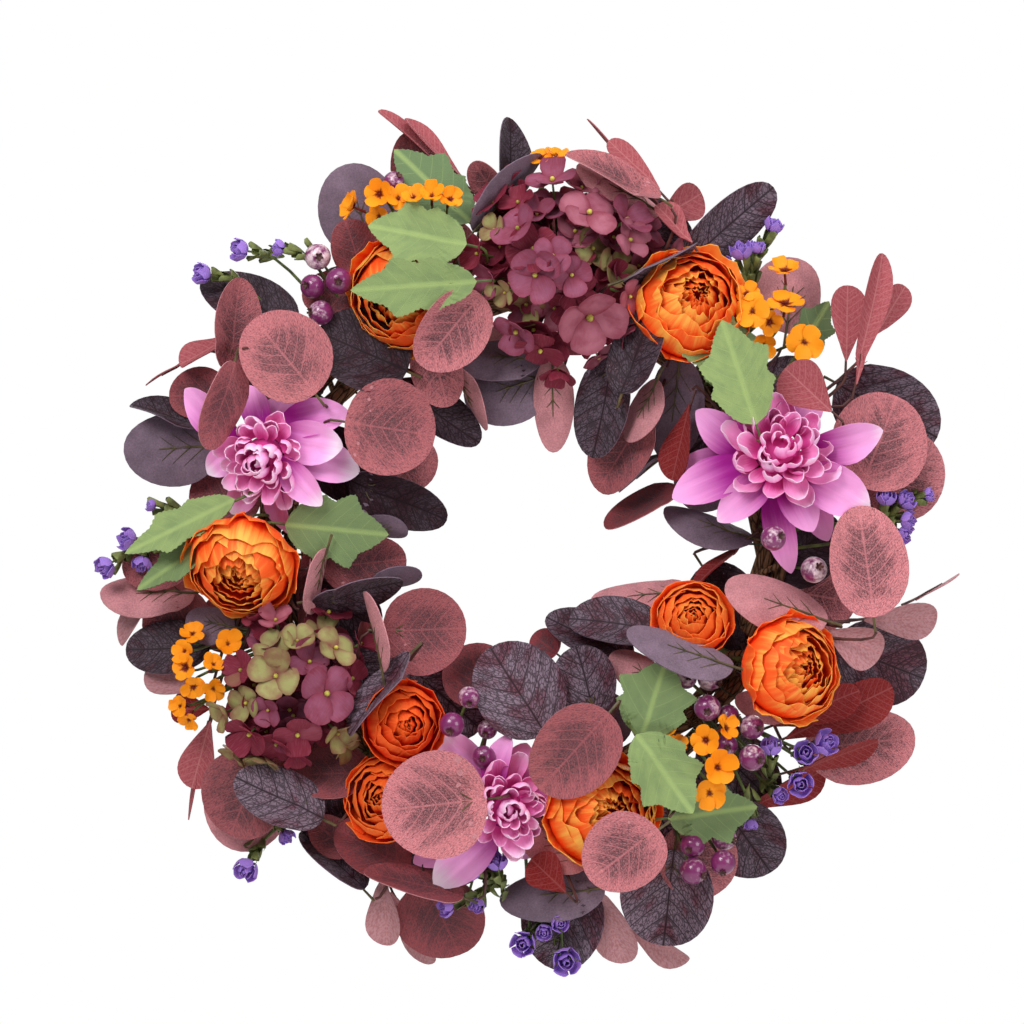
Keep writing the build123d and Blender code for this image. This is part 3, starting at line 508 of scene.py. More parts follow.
def lobed_outline(width_share):
    """A lobed, toothed blade of length 1: straight runs between the corners of one side, mirrored. A
    sawtooth that fades at the tip and the stalk moves the edge away from the blade's middle."""
    corners = np.array(LOBE_CORNERS) * [1, width_share / 2]
    run = np.concatenate([[0], np.cumsum(np.linalg.norm(np.diff(corners, axis=0), axis=1))])
    step = np.linspace(0, run[-1], LOBED_STEPS // 2 + 1)
    x, y = np.interp(step, run, corners[:, 0]), np.interp(step, run, corners[:, 1])
    smooth = np.array([0.25, 0.5, 0.25])
    x[1:-1], y[1:-1] = np.convolve(x, smooth, "valid"), np.convolve(y, smooth, "valid")
    fade = np.clip(step / 0.1, 0, 1) * (x > 0.08)
    tooth = ((step / TOOTH) % 1 - 0.5) * TOOTH * TOOTH_RISE * fade
    middle = np.array([0.5, 0.0])
    away = np.column_stack([x, y]) - middle
    near = middle + away * (1 + tooth / np.linalg.norm(away, axis=1))[:, None]
    near[[0, -1], 1] = 0
    return np.concatenate([near, near[-2:0:-1] * [1, -1]])


# ---------------------------------------------------------------- leaves
def leaf_height(size, width, cup, bend, wave, phase, twist):
    """The height of a blade over its flat plane, at x along and y across.

    It is the sum of a cup, which rises with y squared, a bend along the length, a crease at the
    midrib, a twist that grows along x, and waves round the rim.
    """
    def height(x, y):
        s = x / size
        t = y / (width / 2)
        around = np.arctan2(t, 2 * s - 1)
        rim = np.clip(t**2 + (2 * s - 1) ** 2, 0, 1.2)
        return (width * cup * t**2 + size * bend * (s - 0.5) ** 2 * 4 * np.sign(s - 0.2)
                + width * 0.03 * np.abs(t) ** 0.7 + width * twist * t * (s - 0.2)
                + width * wave * np.sin(3 * around + phase) * rim)
    return height


RIB_SHARE = 0.62  # how much of a leaf's length its midrib runs along
RIB_PAIRS = 3  # pairs of side ribs
RIB_SUNK = 0.85  # how far a rib's axis lies behind the cloth, in radii of the rib


def add_ribs(skin, place, height, thickness, finish):
    """The moulded rib on a blade's back: a tapered midrib from the stalk, and pairs of side ribs
    that leave it forwards at about 40 degrees."""
    size, width, rib = place["length"], place["width"], sizes().rib

    def carry(x, y, radii):
        level = height(np.clip(x, 0, None), y) - thickness / 2 - radii * RIB_SUNK
        level = np.where(x < 0, level + x * 0.1, level)
        points, faces = tube(np.column_stack([x, y, level]), radii)
        points = placed(points, place["base"], place["along"], place["side"], place["normal"])
        skin.add(points, faces, finish)

    x = np.linspace(-PETIOLE, RIB_SHARE * size, 9)
    carry(x, 0 * x, rib * np.linspace(1.15, 0.35, 9))
    step = np.linspace(0, 1, 5)
    for i in range(RIB_PAIRS):
        start = size * (0.12 + 0.16 * i)
        reach = width * (0.34 - 0.06 * i)
        for hand in (-1, 1):
            carry(start + reach * 0.95 * step, hand * reach * 0.72 * step**1.15,
                  rib * np.linspace(0.5, 0.2, 5))


class Neighbours:
    """The surfaces that are already in place, so that a new one can be set clear of them."""

    def __init__(self):
        self.trees = []
        self.boxes = []
        self.points = []
        self.faces = []

    def add(self, points, faces):
        self.trees.append(BVHTree.FromPolygons(points.tolist(), faces))
        self.boxes.append((points.min(axis=0), points.max(axis=0)))
        self.faces += [[corner + len(self.points) for corner in face] for face in faces]
        self.points += points.tolist()

    def whole(self):
        """One tree of all the surfaces in place."""
        return BVHTree.FromPolygons(self.points, self.faces)

    def crossings(self, points, faces):
        """How many pairs of faces cross, between a surface and all those in place."""
        tree = BVHTree.FromPolygons(points.tolist(), faces)
        low, high = points.min(axis=0), points.max(axis=0)
        near = [other for other, (start, end) in zip(self.trees, self.boxes)
                if (start <= high).all() and (end >= low).all()]
        return sum(len(tree.overlap(other)) for other in near)


NEIGHBOURS = Neighbours()
for kind in ("peony", "rose", "dahlia", "berries"):
    for node in nodes_named(kind):
        for points, triangles in solids_of(node):
            NEIGHBOURS.add(points, triangles.tolist())


NUDGES = (0.0, 0.0, 0.03, 0.05, 0.07, 0.09, 0.11, 0.13)  # how far each form of a leaf may be nudged
NUDGE_REACH = 0.06  # how far a nudge of 1 moves a leaf towards the viewer, in metres


def nudged(place, rng, amount):
    """A place turned a little about its stalk, as its normal gains a random share of the other axes,
    and moved towards the viewer."""
    push = rng.uniform(-amount, amount, 2)
    base = place["base"] - np.array([0, NUDGE_REACH * amount * rng.uniform(0.2, 1), 0])
    normal = unit(place["normal"] + place["side"] * push[0] + place["along"] * push[1])
    along = unit(place["along"] - normal * (place["along"] @ normal))
    return {**place, "base": base, "normal": normal, "along": along, "side": np.cross(normal, along)}


def blade_form(place, outline, cup, rng, amount):
    """A blade's place and height function, drawn at random, and its coarse surface as one sheet."""
    place = nudged(place, rng, amount)
    size, width = place["length"], place["width"]
    height = leaf_height(size, width, cup * rng.uniform(0.2, 1.3), rng.uniform(-0.05, 0.06),
                         rng.uniform(0.008, 0.03), rng.uniform(0, 6.28), rng.uniform(-0.1, 0.1))
    edge = outline(width / size)[::3] * size
    points, top, *_ = disc_shell(edge, np.array([edge[:, 0].mean(), 0.0]), 3, height, 0)
    half = len(points) // 2
    sheet = placed(points[:half], place["base"], place["along"], place["side"], place["normal"])
    return place, height, sheet, [face for block in top for face in block.tolist()]


def add_blade(skin, place, outline, rng, rings, cup, tint):
    """One cloth leaf: face in finish 0, back in finish 1 and ribs in finish 2. A cup of None is the
    one that the user chose.

    A form is tried for each of NUDGES, until one crosses no neighbour. The one that crosses them
    least is kept.
    """
    cup = sizes().leaf_cup if cup is None else cup
    best, fewest = None, None
    for amount in NUDGES:
        form = blade_form(place, outline, cup, rng, amount)
        found = NEIGHBOURS.crossings(*form[2:])
        if fewest is None or found < fewest:
            best, fewest = form, found
        if fewest == 0:
            break
    place, height, sheet, sheet_faces = best
    NEIGHBOURS.add(sheet, sheet_faces)
    size, thickness = place["length"], sizes().cloth
    edge = outline(place["width"] / size) * size
    centre = np.array([edge[:, 0].mean(), 0.0])
    points, top, under, rim, flat, share = disc_shell(edge, centre, rings, height, thickness)
    points = placed(points, place["base"], place["along"], place["side"], place["normal"])
    start = skin.count
    skin.add(points, top, 0, flat * PRINT_SCALE, tint, share)
    for block in under + rim:
        skin.faces += (block + start).tolist()
        skin.finishes += [1] * len(block)
    add_ribs(skin, place, height, thickness, 2)


def finish_piece(piece, node):
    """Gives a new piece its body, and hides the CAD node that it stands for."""
    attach(piece, "root")
    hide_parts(node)
    return piece


def make_leaves(kind, outline, materials, spots, spread=0.0, rings=5, cup=None):
    """One piece for each node of leaves of a kind. A leaf's tint is that of its nearest spot, give or
    take the spread."""
    for node in nodes_named(kind):
        skin = Skin()
        rng = draws(node)
        for points, triangles in solids_of(node):
            place = read_blade(points, triangles)
            tint = nearest(spots, place["base"] + place["along"] * place["length"] / 2)
            if spread:
                tint = float(np.clip(tint + rng.uniform(-spread, spread), 0, 1))
            add_blade(skin, place, outline, rng, rings, cup, tint)
        finish_piece(skin.make(node + "_cloth", materials), node)


# ---------------------------------------------------------------- stems
ROOT_SPREAD = 6  # how far a stem's end may lie off the ring's centre line, in millimetres
ROOT_DEPTH = 6 * MM  # how deep a stem's end lies behind the ring's front


def ring_point(point, drift, share, rng):
    """Where a stem is pushed into the ring: at the point's clock angle, drawn to the angle drift."""
    x, z = face_share(point)
    angle = math.atan2(x, z)
    turn = (drift - angle + math.pi) % (2 * math.pi) - math.pi
    angle += share * turn
    radius = RING_RADIUS + rng.uniform(-ROOT_SPREAD, ROOT_SPREAD) * MM
    return np.array([RING_MIDDLE[0] + radius * math.sin(angle), RING_FRONT + ROOT_DEPTH,
                     RING_MIDDLE[2] + radius * math.cos(angle)])


VIEWER = Vector((0, -1, 0))
STEM_ROUTES = 32  # routes that are tried for each stem
DRIFTS = (0.3, 0.0, 0.6, -0.3, 0.9, 0.15, 0.45, -0.15)  # how far a route's root is drawn, by turns
DETOUR = 8.0  # how a stem's extra length counts against the points it shows


def bared(path, tree):
    """How many of a stem's points are seen from the front, plus twice the surfaces it goes through."""
    points = [Vector(point) for point in path]
    steps = [after - point for point, after in zip(points, points[1:])]
    through = sum(tree.ray_cast(point, step.normalized(), step.length)[0] is not None
                  for point, step in zip(points, steps))
    return 2 * through + sum(tree.ray_cast(point, VIEWER)[0] is None for point in points[1:-1])


def add_stem(skin, tree, point, direction, drift, rng, thick, thin):
    """A tapered stem from the ring to a stalk, which it meets along the stalk's direction. Of
    STEM_ROUTES routes, it takes the one that shows least and goes through the fewest leaves."""
    best, fewest = None, None
    for share in np.resize(DRIFTS, STEM_ROUTES):
        root = ring_point(point, drift, share, rng)
        reach = np.linalg.norm(point - root)
        leave = unit(unit(point - root) * 0.8 + np.array([0, -0.6, 0])) * reach * rng.uniform(0.4, 1.0)
        path = hermite(root, leave, point, direction * reach * rng.uniform(0.25, 1.0), 9)
        length = np.linalg.norm(np.diff(path, axis=0), axis=1).sum()
        found = bared(path, tree) + DETOUR * (length / reach - 1)
        if fewest is None or found < fewest:
            best, fewest = path, found
    points, faces = tube(best, np.linspace(thick, thin, 9))
    skin.add(points, faces, 0)


def group_angle(places):
    """The clock angle of the mean of some points."""
    x, z = face_share(np.mean(places, axis=0))
    return math.atan2(x, z)


# ---------------------------------------------------------------- flower heads
# Layers of a head: petals, radius, opening angle from the back in degrees, half width in degrees,
# flare of the rim and height of the top, as shares of the head's radius.
PEONY_LAYERS = (
    (5, 0.97, 104, 40, 0.24, 0.30),
    (4, 1.00, 118, 56, 0.05, 0.46),
    (4, 0.96, 128, 56, 0.02, 0.60),
    (4, 0.88, 138, 54, 0.0, 0.68),
    (4, 0.78, 142, 52, 0.0, 0.70),
    (5, 0.64, 148, 42, 0.0, 0.68),
    (5, 0.50, 152, 42, 0.0, 0.64),
    (4, 0.36, 156, 48, 0.0, 0.62),
    (3, 0.22, 160, 66, 0.0, 0.60),
)
ROSE_LAYERS = (
    (4, 0.96, 106, 58, 0.14, 0.20),
    (4, 0.92, 122, 58, 0.06, 0.38),
    (4, 0.82, 132, 58, 0.02, 0.48),
    (3, 0.68, 138, 70, 0.0, 0.54),
    (3, 0.54, 144, 72, 0.0, 0.56),
    (3, 0.40, 150, 78, 0.0, 0.58),
    (2, 0.26, 156, 100, 0.0, 0.60),
    (2, 0.14, 160, 110, 0.0, 0.60),
)
VIOLET_LAYERS = (
    (5, 1.0, 118, 33, 0.26, 0.75),
    (4, 0.62, 132, 44, 0.10, 0.80),
    (3, 0.30, 140, 60, 0.0, 0.85),
)
HEAD_DEPTH = 0.72  # how far a head's back pole lies behind its middle, in radii


def cupped_petal(head, layer, turn, ruffle, phase, steps):
    """One petal of a cupped head, as a grid about +Z.

    v runs from the back pole to the petal's top, u across it. The polar angle grows with v to the
    opening angle, less towards the sides, so that the top is an arc, and its edge is nicked by two
    sines of u. The half width grows from a narrow claw. The radius swells with the flare, and with
    the ruffle near the top. Above the middle the height is scaled to reach the layer's top.
    """
    share, opening, half_width, flare, top = layer
    u, v = np.meshgrid(np.linspace(-1, 1, steps), np.linspace(0, 1, steps), indexing="xy")
    nick = 0.035 * np.sin(5.3 * u + phase) + 0.02 * np.sin(11.7 * u + 2 * phase)
    polar = np.radians(opening) * (0.10 + 0.90 * v * (1 + (nick - 0.16 * u**2) * v))
    spread = np.radians(half_width) * (0.30 + 0.70 * np.sin(np.clip(v * 1.25, 0, 1) * np.pi / 2))
    angle = turn + u * spread
    lift = np.clip(v - 0.55, 0, 1) ** 2
    radius = head * (share + flare * lift * 4 + ruffle * np.sin(3.1 * np.pi * u + phase) * v**3)
    radius = radius * (1 - 0.04 * u * np.cos(phase))
    rise = np.where(np.cos(polar) > 0, HEAD_DEPTH, top / -math.cos(math.radians(opening)))
    grid = np.stack([radius * np.sin(polar) * np.cos(angle), radius * np.sin(polar) * np.sin(angle),
                     -head * rise * np.cos(polar)], axis=-1)
    return grid, u, v


def add_cupped_head(skin, place, layers, rng, steps, ruffle, scale, lean=0.0):
    """A head of nested layers of petals, each a grid of steps by steps points, in finish 0. The UV map
    is u across and v up each petal. lean is added to the petals' tints."""
    first, second = axes_about(place["axis"], rng.uniform(0, 6.28))
    head = place["radius"] * scale
    for number, (count, share, opening, half_width, flare, top) in enumerate(layers):
        start = number * 0.9 + rng.uniform(-0.3, 0.3)
        for i in range(count):
            turn = start + i * 2 * np.pi / count + rng.uniform(-0.12, 0.12)
            layer = (share * rng.uniform(0.97, 1.03), opening + rng.uniform(-6, 6), half_width, flare,
                     top)
            wave = ruffle * rng.uniform(0.6, 1.4) * (1.6 - share)
            grid, u, v = cupped_petal(head, layer, turn, wave, rng.uniform(0, 6.28), steps)
            points, faces = patch_shell(grid, sizes().petal)
            points = placed(points, place["middle"], first, second, place["axis"])
            uv = np.column_stack([u.ravel() * half_width / 50 + i * 3 + number * 17, v.ravel()])
            tint = lean + rng.uniform(0, 0.5)
            skin.add(points, faces, 0, np.concatenate([uv, uv]), tint, 1 - share)


HEART_PETALS = 46
GOLDEN_ANGLE = math.radians(137.508)
HEART_CORE = ((0, -0.3), (0.4, -0.2), (0.48, 0.1), (0.34, 0.42), (0, 0.52))  # its profile, in radii


def add_heart_petals(skin, place, rng):
    """The curled petals of a dahlia's heart, on a dome.

    Petal i stands at the golden angle times i, at a polar angle whose cosine falls evenly with i.
    It leaves the dome outwards and curls back to the axis, and its section is a trough.
    """
    first, second = axes_about(place["axis"], 0.0)
    radius = place["radius"]
    core, faces = lathe(np.array(HEART_CORE) * radius, 16)
    skin.add(placed(core, place["middle"], first, second, place["axis"]), faces, 0, None, 0.5)
    w, t = np.meshgrid(np.linspace(-1, 1, 7), np.linspace(0, 1, 8), indexing="xy")
    for i in range(HEART_PETALS):
        polar = math.acos(1 - 0.96 * (i + 0.5) / HEART_PETALS) + rng.uniform(-0.14, 0.14)
        turn = i * GOLDEN_ANGLE + rng.uniform(-0.26, 0.26)
        size = radius * (0.44 + 0.26 * polar) * rng.uniform(0.78, 1.16)
        curl = rng.uniform(0.7, 1.9)
        lean = polar * 1.12 + 0.1 - curl * t**1.6
        step = size / 7
        out = np.cumsum(np.sin(lean), axis=0) * step + radius * 0.46 * math.sin(polar)
        up = np.cumsum(np.cos(lean), axis=0) * step + radius * 0.40 * math.cos(polar)
        half = size * rng.uniform(0.34, 0.44) * np.sin(np.pi * (0.15 + 0.66 * t)) ** 0.7
        trough = half * rng.uniform(0.55, 0.95) * w**2
        side = half * w * (1 - 0.2 * w**2) + size * rng.uniform(-0.16, 0.16) * t**2
        radial = out - trough * np.cos(lean)
        height = up + trough * np.sin(lean) * 0.4 + half * 0.10 * np.cos(3 * np.pi * w) * t**4
        grid = np.stack([radial * math.cos(turn) - side * math.sin(turn),
                         radial * math.sin(turn) + side * math.cos(turn), height], axis=-1)
        points, faces = patch_shell(grid, sizes().petal)
        points = placed(points, place["middle"], first, second, place["axis"])
        uv = np.column_stack([w.ravel() + i * 3, t.ravel()])
        skin.add(points, faces, 0, np.concatenate([uv, uv]), rng.uniform(0, 1))


def ray_height(size, width, arch, trough, wave, phase):
    """The height of a ray petal: an arch along it that droops at the tip, a trough across it, two
    pressed grooves each side of a ridge, and a wave of the rim."""
    def height(x, y):
        s = x / size
        t = y / (width / 2)
        inside = np.clip(s, 0, 1)
        groove = np.exp(-((np.abs(t) - 0.30) / 0.13) ** 2) * width * 0.05 * np.sin(np.pi * inside)
        return (size * arch * np.sin(np.pi * inside * 1.15) + width * trough * t**2 - groove
                + width * wave * np.sin(7 * s + phase) * t)
    return height


def add_petal_disc(skin, origin, first, second, normal, reach, breadth, lift, cup, rng, finish, tint,
                   count=16):
    """One round petal of a floret, from its claw at the origin along first.

    Its outline is an egg: the half width is breadth / 2 times sin a, fuller to the tip.
    Its height rises with x and with y squared.
    """
    a, x = steps_round(count)
    edge = np.column_stack([reach * x,
                            -breadth / 2 * np.sin(a) * (1 - 0.34 * np.cos(a)) * (1 + 0.05 * np.sin(3 * a))])
    phase = rng.uniform(0, 6.28)

    def height(x, y):
        s = x / reach
        t = y / (breadth / 2)
        return reach * (lift * s + cup * s**2 + (cup + 0.10) * t**2 * s
                        + 0.05 * np.sin(5 * s + phase) * t + 0.03 * np.sin(4 * t + phase) * s**2)

    points, top, under, rim, flat, share = disc_shell(edge, np.array([reach * 0.55, 0.0]), 3, height,
                                                      sizes().petal)
    points = placed(points, origin, first, second, normal)
    uv = np.column_stack([flat[:, 1] / breadth, flat[:, 0] / reach])
    skin.add(points, top + under + rim, finish, uv, tint, share)


FLORET_BEAD = ((0, -0.1), (0.07, -0.04), (0.10, 0.04), (0.07, 0.12), (0, 0.15))  # profile, in radii


def add_floret(skin, place, petals, rng, tint, closed, breadth):
    """A floret of round petals that overlap by turns, with a bead for its eye. closed is how far the
    petals rise from flat, and breadth is a petal's width in the floret's radii."""
    first, second = axes_about(place["axis"], rng.uniform(0, 6.28))
    radius = place["radius"]
    for i in range(petals):
        angle = i * 2 * np.pi / petals + rng.uniform(-0.13, 0.13)
        along = first * math.cos(angle) + second * math.sin(angle)
        across = np.cross(place["axis"], along)
        origin = place["middle"] + place["axis"] * radius * (0.02 + 0.05 * (i % 2))
        add_petal_disc(skin, origin, along, across, place["axis"], radius * rng.uniform(0.90, 1.06),
                       radius * breadth * rng.uniform(0.88, 1.08), closed + rng.uniform(-0.05, 0.16),
                       rng.uniform(-0.22, 0.30), rng, 0, tint + rng.uniform(-0.03, 0.03))
    points, faces = lathe(np.array(FLORET_BEAD) * radius, 7)
    points = placed(points, place["middle"] + place["axis"] * radius * 0.1, first, second, place["axis"])
    skin.add(points, faces, 1)


STALK_TAPER = (1.0, 0.9, 0.85, 0.8)  # a stalk's radius on its way to the head


def add_stalk(skin, place, finish, radius=0.8):
    """The straight stalk behind a head, from its neck to the head's middle. The radius is in
    millimetres."""
    path = np.linspace(place["neck"], place["middle"], len(STALK_TAPER))
    points, faces = tube(path, np.array(STALK_TAPER) * radius * MM)
    skin.add(points, faces, finish)


RUFFLE = 0.045  # how far the petals of peonies and roses wave, in radii of the head


def make_heads(kind, cloth, layers, steps, scale, stalk, spots):
    """One piece for each node of cupped heads of a kind, each on a green stalk."""
    cup = moulded_plastic("moulded_green_cup", colours().stem_green)
    for node in nodes_named(kind):
        skin = Skin()
        place = read_head(*solids_of(node)[0])
        lean = nearest(spots, place["middle"])
        add_cupped_head(skin, place, layers, draws(node), steps, RUFFLE, scale, lean)
        add_stalk(skin, place, 1, stalk)
        finish_piece(skin.make(node + "_petals", [cloth, cup]), node)


# ---------------------------------------------------------------- materials
# A setting that every node of a kind has here, and the output that is read where it isn't the first.
SETTING_OF = {"ShaderNodeMix": ("data_type", "RGBA")}
OUTPUT_OF = {"ShaderNodeMix": 2, "ShaderNodeTexCoord": "Object", "ShaderNodeAttribute": "Fac",
             "ShaderNodeTexWave": "Fac"}


def add(tree, kind, inputs=(), **settings):
    """Adds a node with its settings, and returns its output. An input's value is a number, a vector,
    a colour or an output to link."""
    node = tree.nodes.new(kind)
    for name, value in (*settings.items(), *filter(None, [SETTING_OF.get(kind)])):
        setattr(node, name, value)
    for key, value in dict(inputs).items():
        if isinstance(value, bpy.types.NodeSocket):
            tree.links.new(value, node.inputs[key])
        elif isinstance(node.inputs[key], bpy.types.NodeSocketColor):
            node.inputs[key].default_value = (*value, 1) if len(value) == 3 else value
        else:
            node.inputs[key].default_value = value
    return node.outputs[OUTPUT_OF.get(kind, 0)] if node.outputs else None


def toned(base, share):
    """A colour, lighter or darker by a share, no brighter than white."""
    return tuple(min(1, c * share) for c in base)


def new_material(name):
    """An empty node material and its tree."""
    material = bpy.data.materials.new(name)
    material.use_nodes = True
    tree = material.node_tree
    tree.nodes.clear()
    return material, tree


def finish_material(material, tree, shader, bump=None, strength=0.3, distance=0.0005):
    """Joins the shader to the material's output, with the bump's height if there is one."""
    if bump is not None:
        relief = add(tree, "ShaderNodeBump", {"Height": bump, "Strength": strength, "Distance": distance})
        tree.links.new(relief, shader.node.inputs["Normal"])
    add(tree, "ShaderNodeOutputMaterial", {"Surface": shader})
    return material


VEIN_BOW = 1.25  # how a side vein's lean grows with the distance from the midrib
VEIN_LEAN = -0.42  # how far a side vein runs forwards as it leaves the midrib
NEXT_BLADE = 371.0  # how far a tint of 1 moves the pattern, in millimetres


def blade_print(tree):
    """Places on a printed blade: away from the midrib in millimetres, the place along a side vein, a
    place that differs from blade to blade, and the blade's tint."""
    place = add(tree, "ShaderNodeUVMap", uv_map="Print")
    along, across, _ = add(tree, "ShaderNodeSeparateXYZ", {0: place}).node.outputs
    away = add(tree, "ShaderNodeMath", {0: across}, operation="ABSOLUTE")
    tint = add(tree, "ShaderNodeAttribute", attribute_name="tint")
    bowed = add(tree, "ShaderNodeMath", {0: away, 1: VEIN_BOW}, operation="POWER")
    chevron = add(tree, "ShaderNodeMath", {0: bowed, 1: VEIN_LEAN, 2: along}, operation="MULTIPLY_ADD")
    shift = add(tree, "ShaderNodeMath", {0: tint, 1: NEXT_BLADE}, operation="MULTIPLY")
    own = add(tree, "ShaderNodeCombineXYZ", {0: chevron, 1: away, 2: shift})
    return away, chevron, own, tint


def vein_lines(tree, away, chevron, spacing, vein, midrib, strength=1.0, interpolation_type="LINEAR"):
    """The midrib and the side veins as lines of 1 on 0. Side veins are spacing millimetres apart and
    as strong as strength. vein and midrib say where a line starts to fade and where it ends: in
    spacings for a side vein, in millimetres for the midrib."""
    step = add(tree, "ShaderNodeMath", {0: chevron, 1: 1 / spacing}, operation="MULTIPLY")
    saw = add(tree, "ShaderNodeMath", {0: step, 1: 0.5}, operation="PINGPONG")
    lines = [add(tree, "ShaderNodeMapRange", {"Value": value, "From Min": start, "From Max": end,
                                              "To Min": top, "To Max": 0.0},
                 interpolation_type=interpolation_type)
             for value, (start, end), top in ((saw, vein, strength), (away, midrib, 1.0))]
    return add(tree, "ShaderNodeMath", dict(enumerate(lines)), operation="MAXIMUM")


THREAD = 0.55 * MM  # real threads are 0.2 mm apart; these are coarser, so that they show


def cloth_relief(tree):
    """The weave of stiffened cloth: cells one thread across, in object space."""
    place = add(tree, "ShaderNodeTexCoord")
    return add(tree, "ShaderNodeTexVoronoi", {"Vector": place, "Scale": 1 / THREAD}, feature="F1")


def red_print(name, face, stroke, shade):
    """Polyester cloth, stiffened and screen printed: short dark dashes lie along the side veins over a
    salmon ground, under a grey veil that is thickest at the stalk and thins out to the rim. The leaf's tint
    draws the ground towards the shade colour: partly the leaf's own dye, partly painted shade and painted
    light. The veil's thinning towards the rim is partly print, partly a painted rim light. The veins stay
    salmon. Cloth gives a matt, dry surface."""
    material, tree = new_material(name)
    away, chevron, own, tint = blade_print(tree)
    rim = add(tree, "ShaderNodeAttribute", attribute_name="rim")
    # dashes 1 mm apart and about 1.6 mm long
    dash_place = add(tree, "ShaderNodeMapping", {"Vector": own, "Scale": (0.95, 0.62, 1.0)})
    dashes = add(tree, "ShaderNodeTexVoronoi", {"Vector": dash_place, "Scale": 1.0},
                 feature="DISTANCE_TO_EDGE")
    dash = add(tree, "ShaderNodeMapRange", {"Value": dashes, "From Min": 0.03,
                                           "From Max": 0.20, "To Min": 1.0, "To Max": 0.0})
    # a veil that breaks up in patches about 9 mm across
    clouds = add(tree, "ShaderNodeTexNoise", {"Vector": own, "Scale": 0.11, "Detail": 4.0, "Roughness": 0.6})
    inner = add(tree, "ShaderNodeMath", {0: clouds, 1: 1.3, 2: 0.02}, operation="MULTIPLY_ADD")
    # painted rim light, partly print: taking the rim share away thins the grey veil towards the leaf's edge,
    # so the edge is lighter
    inner = add(tree, "ShaderNodeMath", {0: inner, 1: rim}, operation="SUBTRACT")
    veil = add(tree, "ShaderNodeMapRange", {"Value": inner, "From Min": -0.25, "From Max": 0.45},
               interpolation_type="SMOOTHSTEP")
    lines = vein_lines(tree, away, chevron, 7.5, (0.02, 0.09), (0.25, 0.9))
    # painted shade and painted light: the tint draws the ground from the face colour towards the shade
    # colour, partly for the leaf's own wine-red dye and partly for the shadow it lies in or the light it
    # faces
    ground = add(tree, "ShaderNodeMix", {0: tint, 6: face, 7: shade})
    veiled = add(tree, "ShaderNodeMath", {0: veil, 1: 0.50}, operation="MULTIPLY")
    grey = add(tree, "ShaderNodeMix", {0: veiled, 6: ground, 7: stroke})
    cover = add(tree, "ShaderNodeMapRange", {"Value": veil, "To Min": 0.34, "To Max": 0.85})
    # flecks of ink about 1 mm across, all over
    flecks = add(tree, "ShaderNodeTexNoise", {"Vector": own, "Scale": 1.1, "Detail": 1.0})
    fleck = add(tree, "ShaderNodeMapRange", {"Value": flecks, "From Min": 0.50, "From Max": 0.64,
                                            "To Min": 0.0, "To Max": 0.42})
    inked = add(tree, "ShaderNodeMath", {0: dash, 1: cover, 2: fleck}, operation="MULTIPLY_ADD",
                use_clamp=True)
    printed = add(tree, "ShaderNodeMix", {0: inked, 6: grey, 7: stroke})
    bare = add(tree, "ShaderNodeMath", {0: lines, 1: 0.50}, operation="MULTIPLY")
    final = add(tree, "ShaderNodeMix", {0: bare, 6: printed, 7: ground})
    shader = add(tree, "ShaderNodeBsdfPrincipled", {"Base Color": final, "Roughness": 0.66,
                                                   "Specular IOR Level": 0.2})
    rise = add(tree, "ShaderNodeMath", {0: lines, 1: inked}, operation="SUBTRACT")
    return finish_material(material, tree, shader, rise, 0.5, 0.0004)


def plum_print(name, face, crackle, fleck):
    """Polyester cloth, stiffened and screen printed: a net of near-black veins over a grey-purple
    ground, clouded with wine red, darker from leaf to leaf with the tint. Cloth gives a matt surface."""
    material, tree = new_material(name)
    away, chevron, own, tint = blade_print(tree)
    # cells 2.5 mm wide inside cells 8 mm wide
    warp = add(tree, "ShaderNodeTexNoise", {"Vector": own, "Scale": 0.3, "Detail": 2.0})
    warped = add(tree, "ShaderNodeVectorMath", {0: warp.node.outputs["Color"], 1: (2.0, 2.0, 2.0), 2: own},
                 operation="MULTIPLY_ADD")
    fine = add(tree, "ShaderNodeTexVoronoi", {"Vector": warped, "Scale": 0.46}, feature="DISTANCE_TO_EDGE")
    broad = add(tree, "ShaderNodeTexVoronoi", {"Vector": warped, "Scale": 0.13}, feature="DISTANCE_TO_EDGE")
    fine_line = add(tree, "ShaderNodeMapRange", {"Value": fine, "From Min": 0.03,
                                                "From Max": 0.14, "To Min": 0.85, "To Max": 0.0})
    broad_line = add(tree, "ShaderNodeMapRange", {"Value": broad, "From Min": 0.02,
                                                 "From Max": 0.06, "To Min": 0.75, "To Max": 0.0})
    lines = vein_lines(tree, away, chevron, 10.0, (0.02, 0.06), (0.3, 1.0))
    net = add(tree, "ShaderNodeMath", {0: fine_line, 1: broad_line}, operation="MAXIMUM")
    net = add(tree, "ShaderNodeMath", {0: net, 1: lines}, operation="MAXIMUM")
    clouds = add(tree, "ShaderNodeTexNoise", {"Vector": own, "Scale": 0.07, "Detail": 4.0})
    wine = add(tree, "ShaderNodeMapRange", {"Value": clouds, "From Min": 0.42, "From Max": 0.66,
                                           "To Min": 0.0, "To Max": 0.75}, interpolation_type="SMOOTHSTEP")
    ground = add(tree, "ShaderNodeMix", {0: wine, 6: face, 7: fleck})
    dark = add(tree, "ShaderNodeMix", {0: tint, 6: ground, 7: crackle})
    inked = add(tree, "ShaderNodeMath", {0: net, 1: 0.9}, operation="MULTIPLY")
    final = add(tree, "ShaderNodeMix", {0: inked, 6: dark, 7: crackle})
    shader = add(tree, "ShaderNodeBsdfPrincipled", {"Base Color": final, "Roughness": 0.6,
                                                   "Specular IOR Level": 0.22})
    depth = add(tree, "ShaderNodeMath", {0: 1.0, 1: net}, operation="SUBTRACT")
    return finish_material(material, tree, shader, depth, 0.5, 0.0004)


MOTTLE = 0.18  # how far dyed cloth strays from its colour, lighter or darker


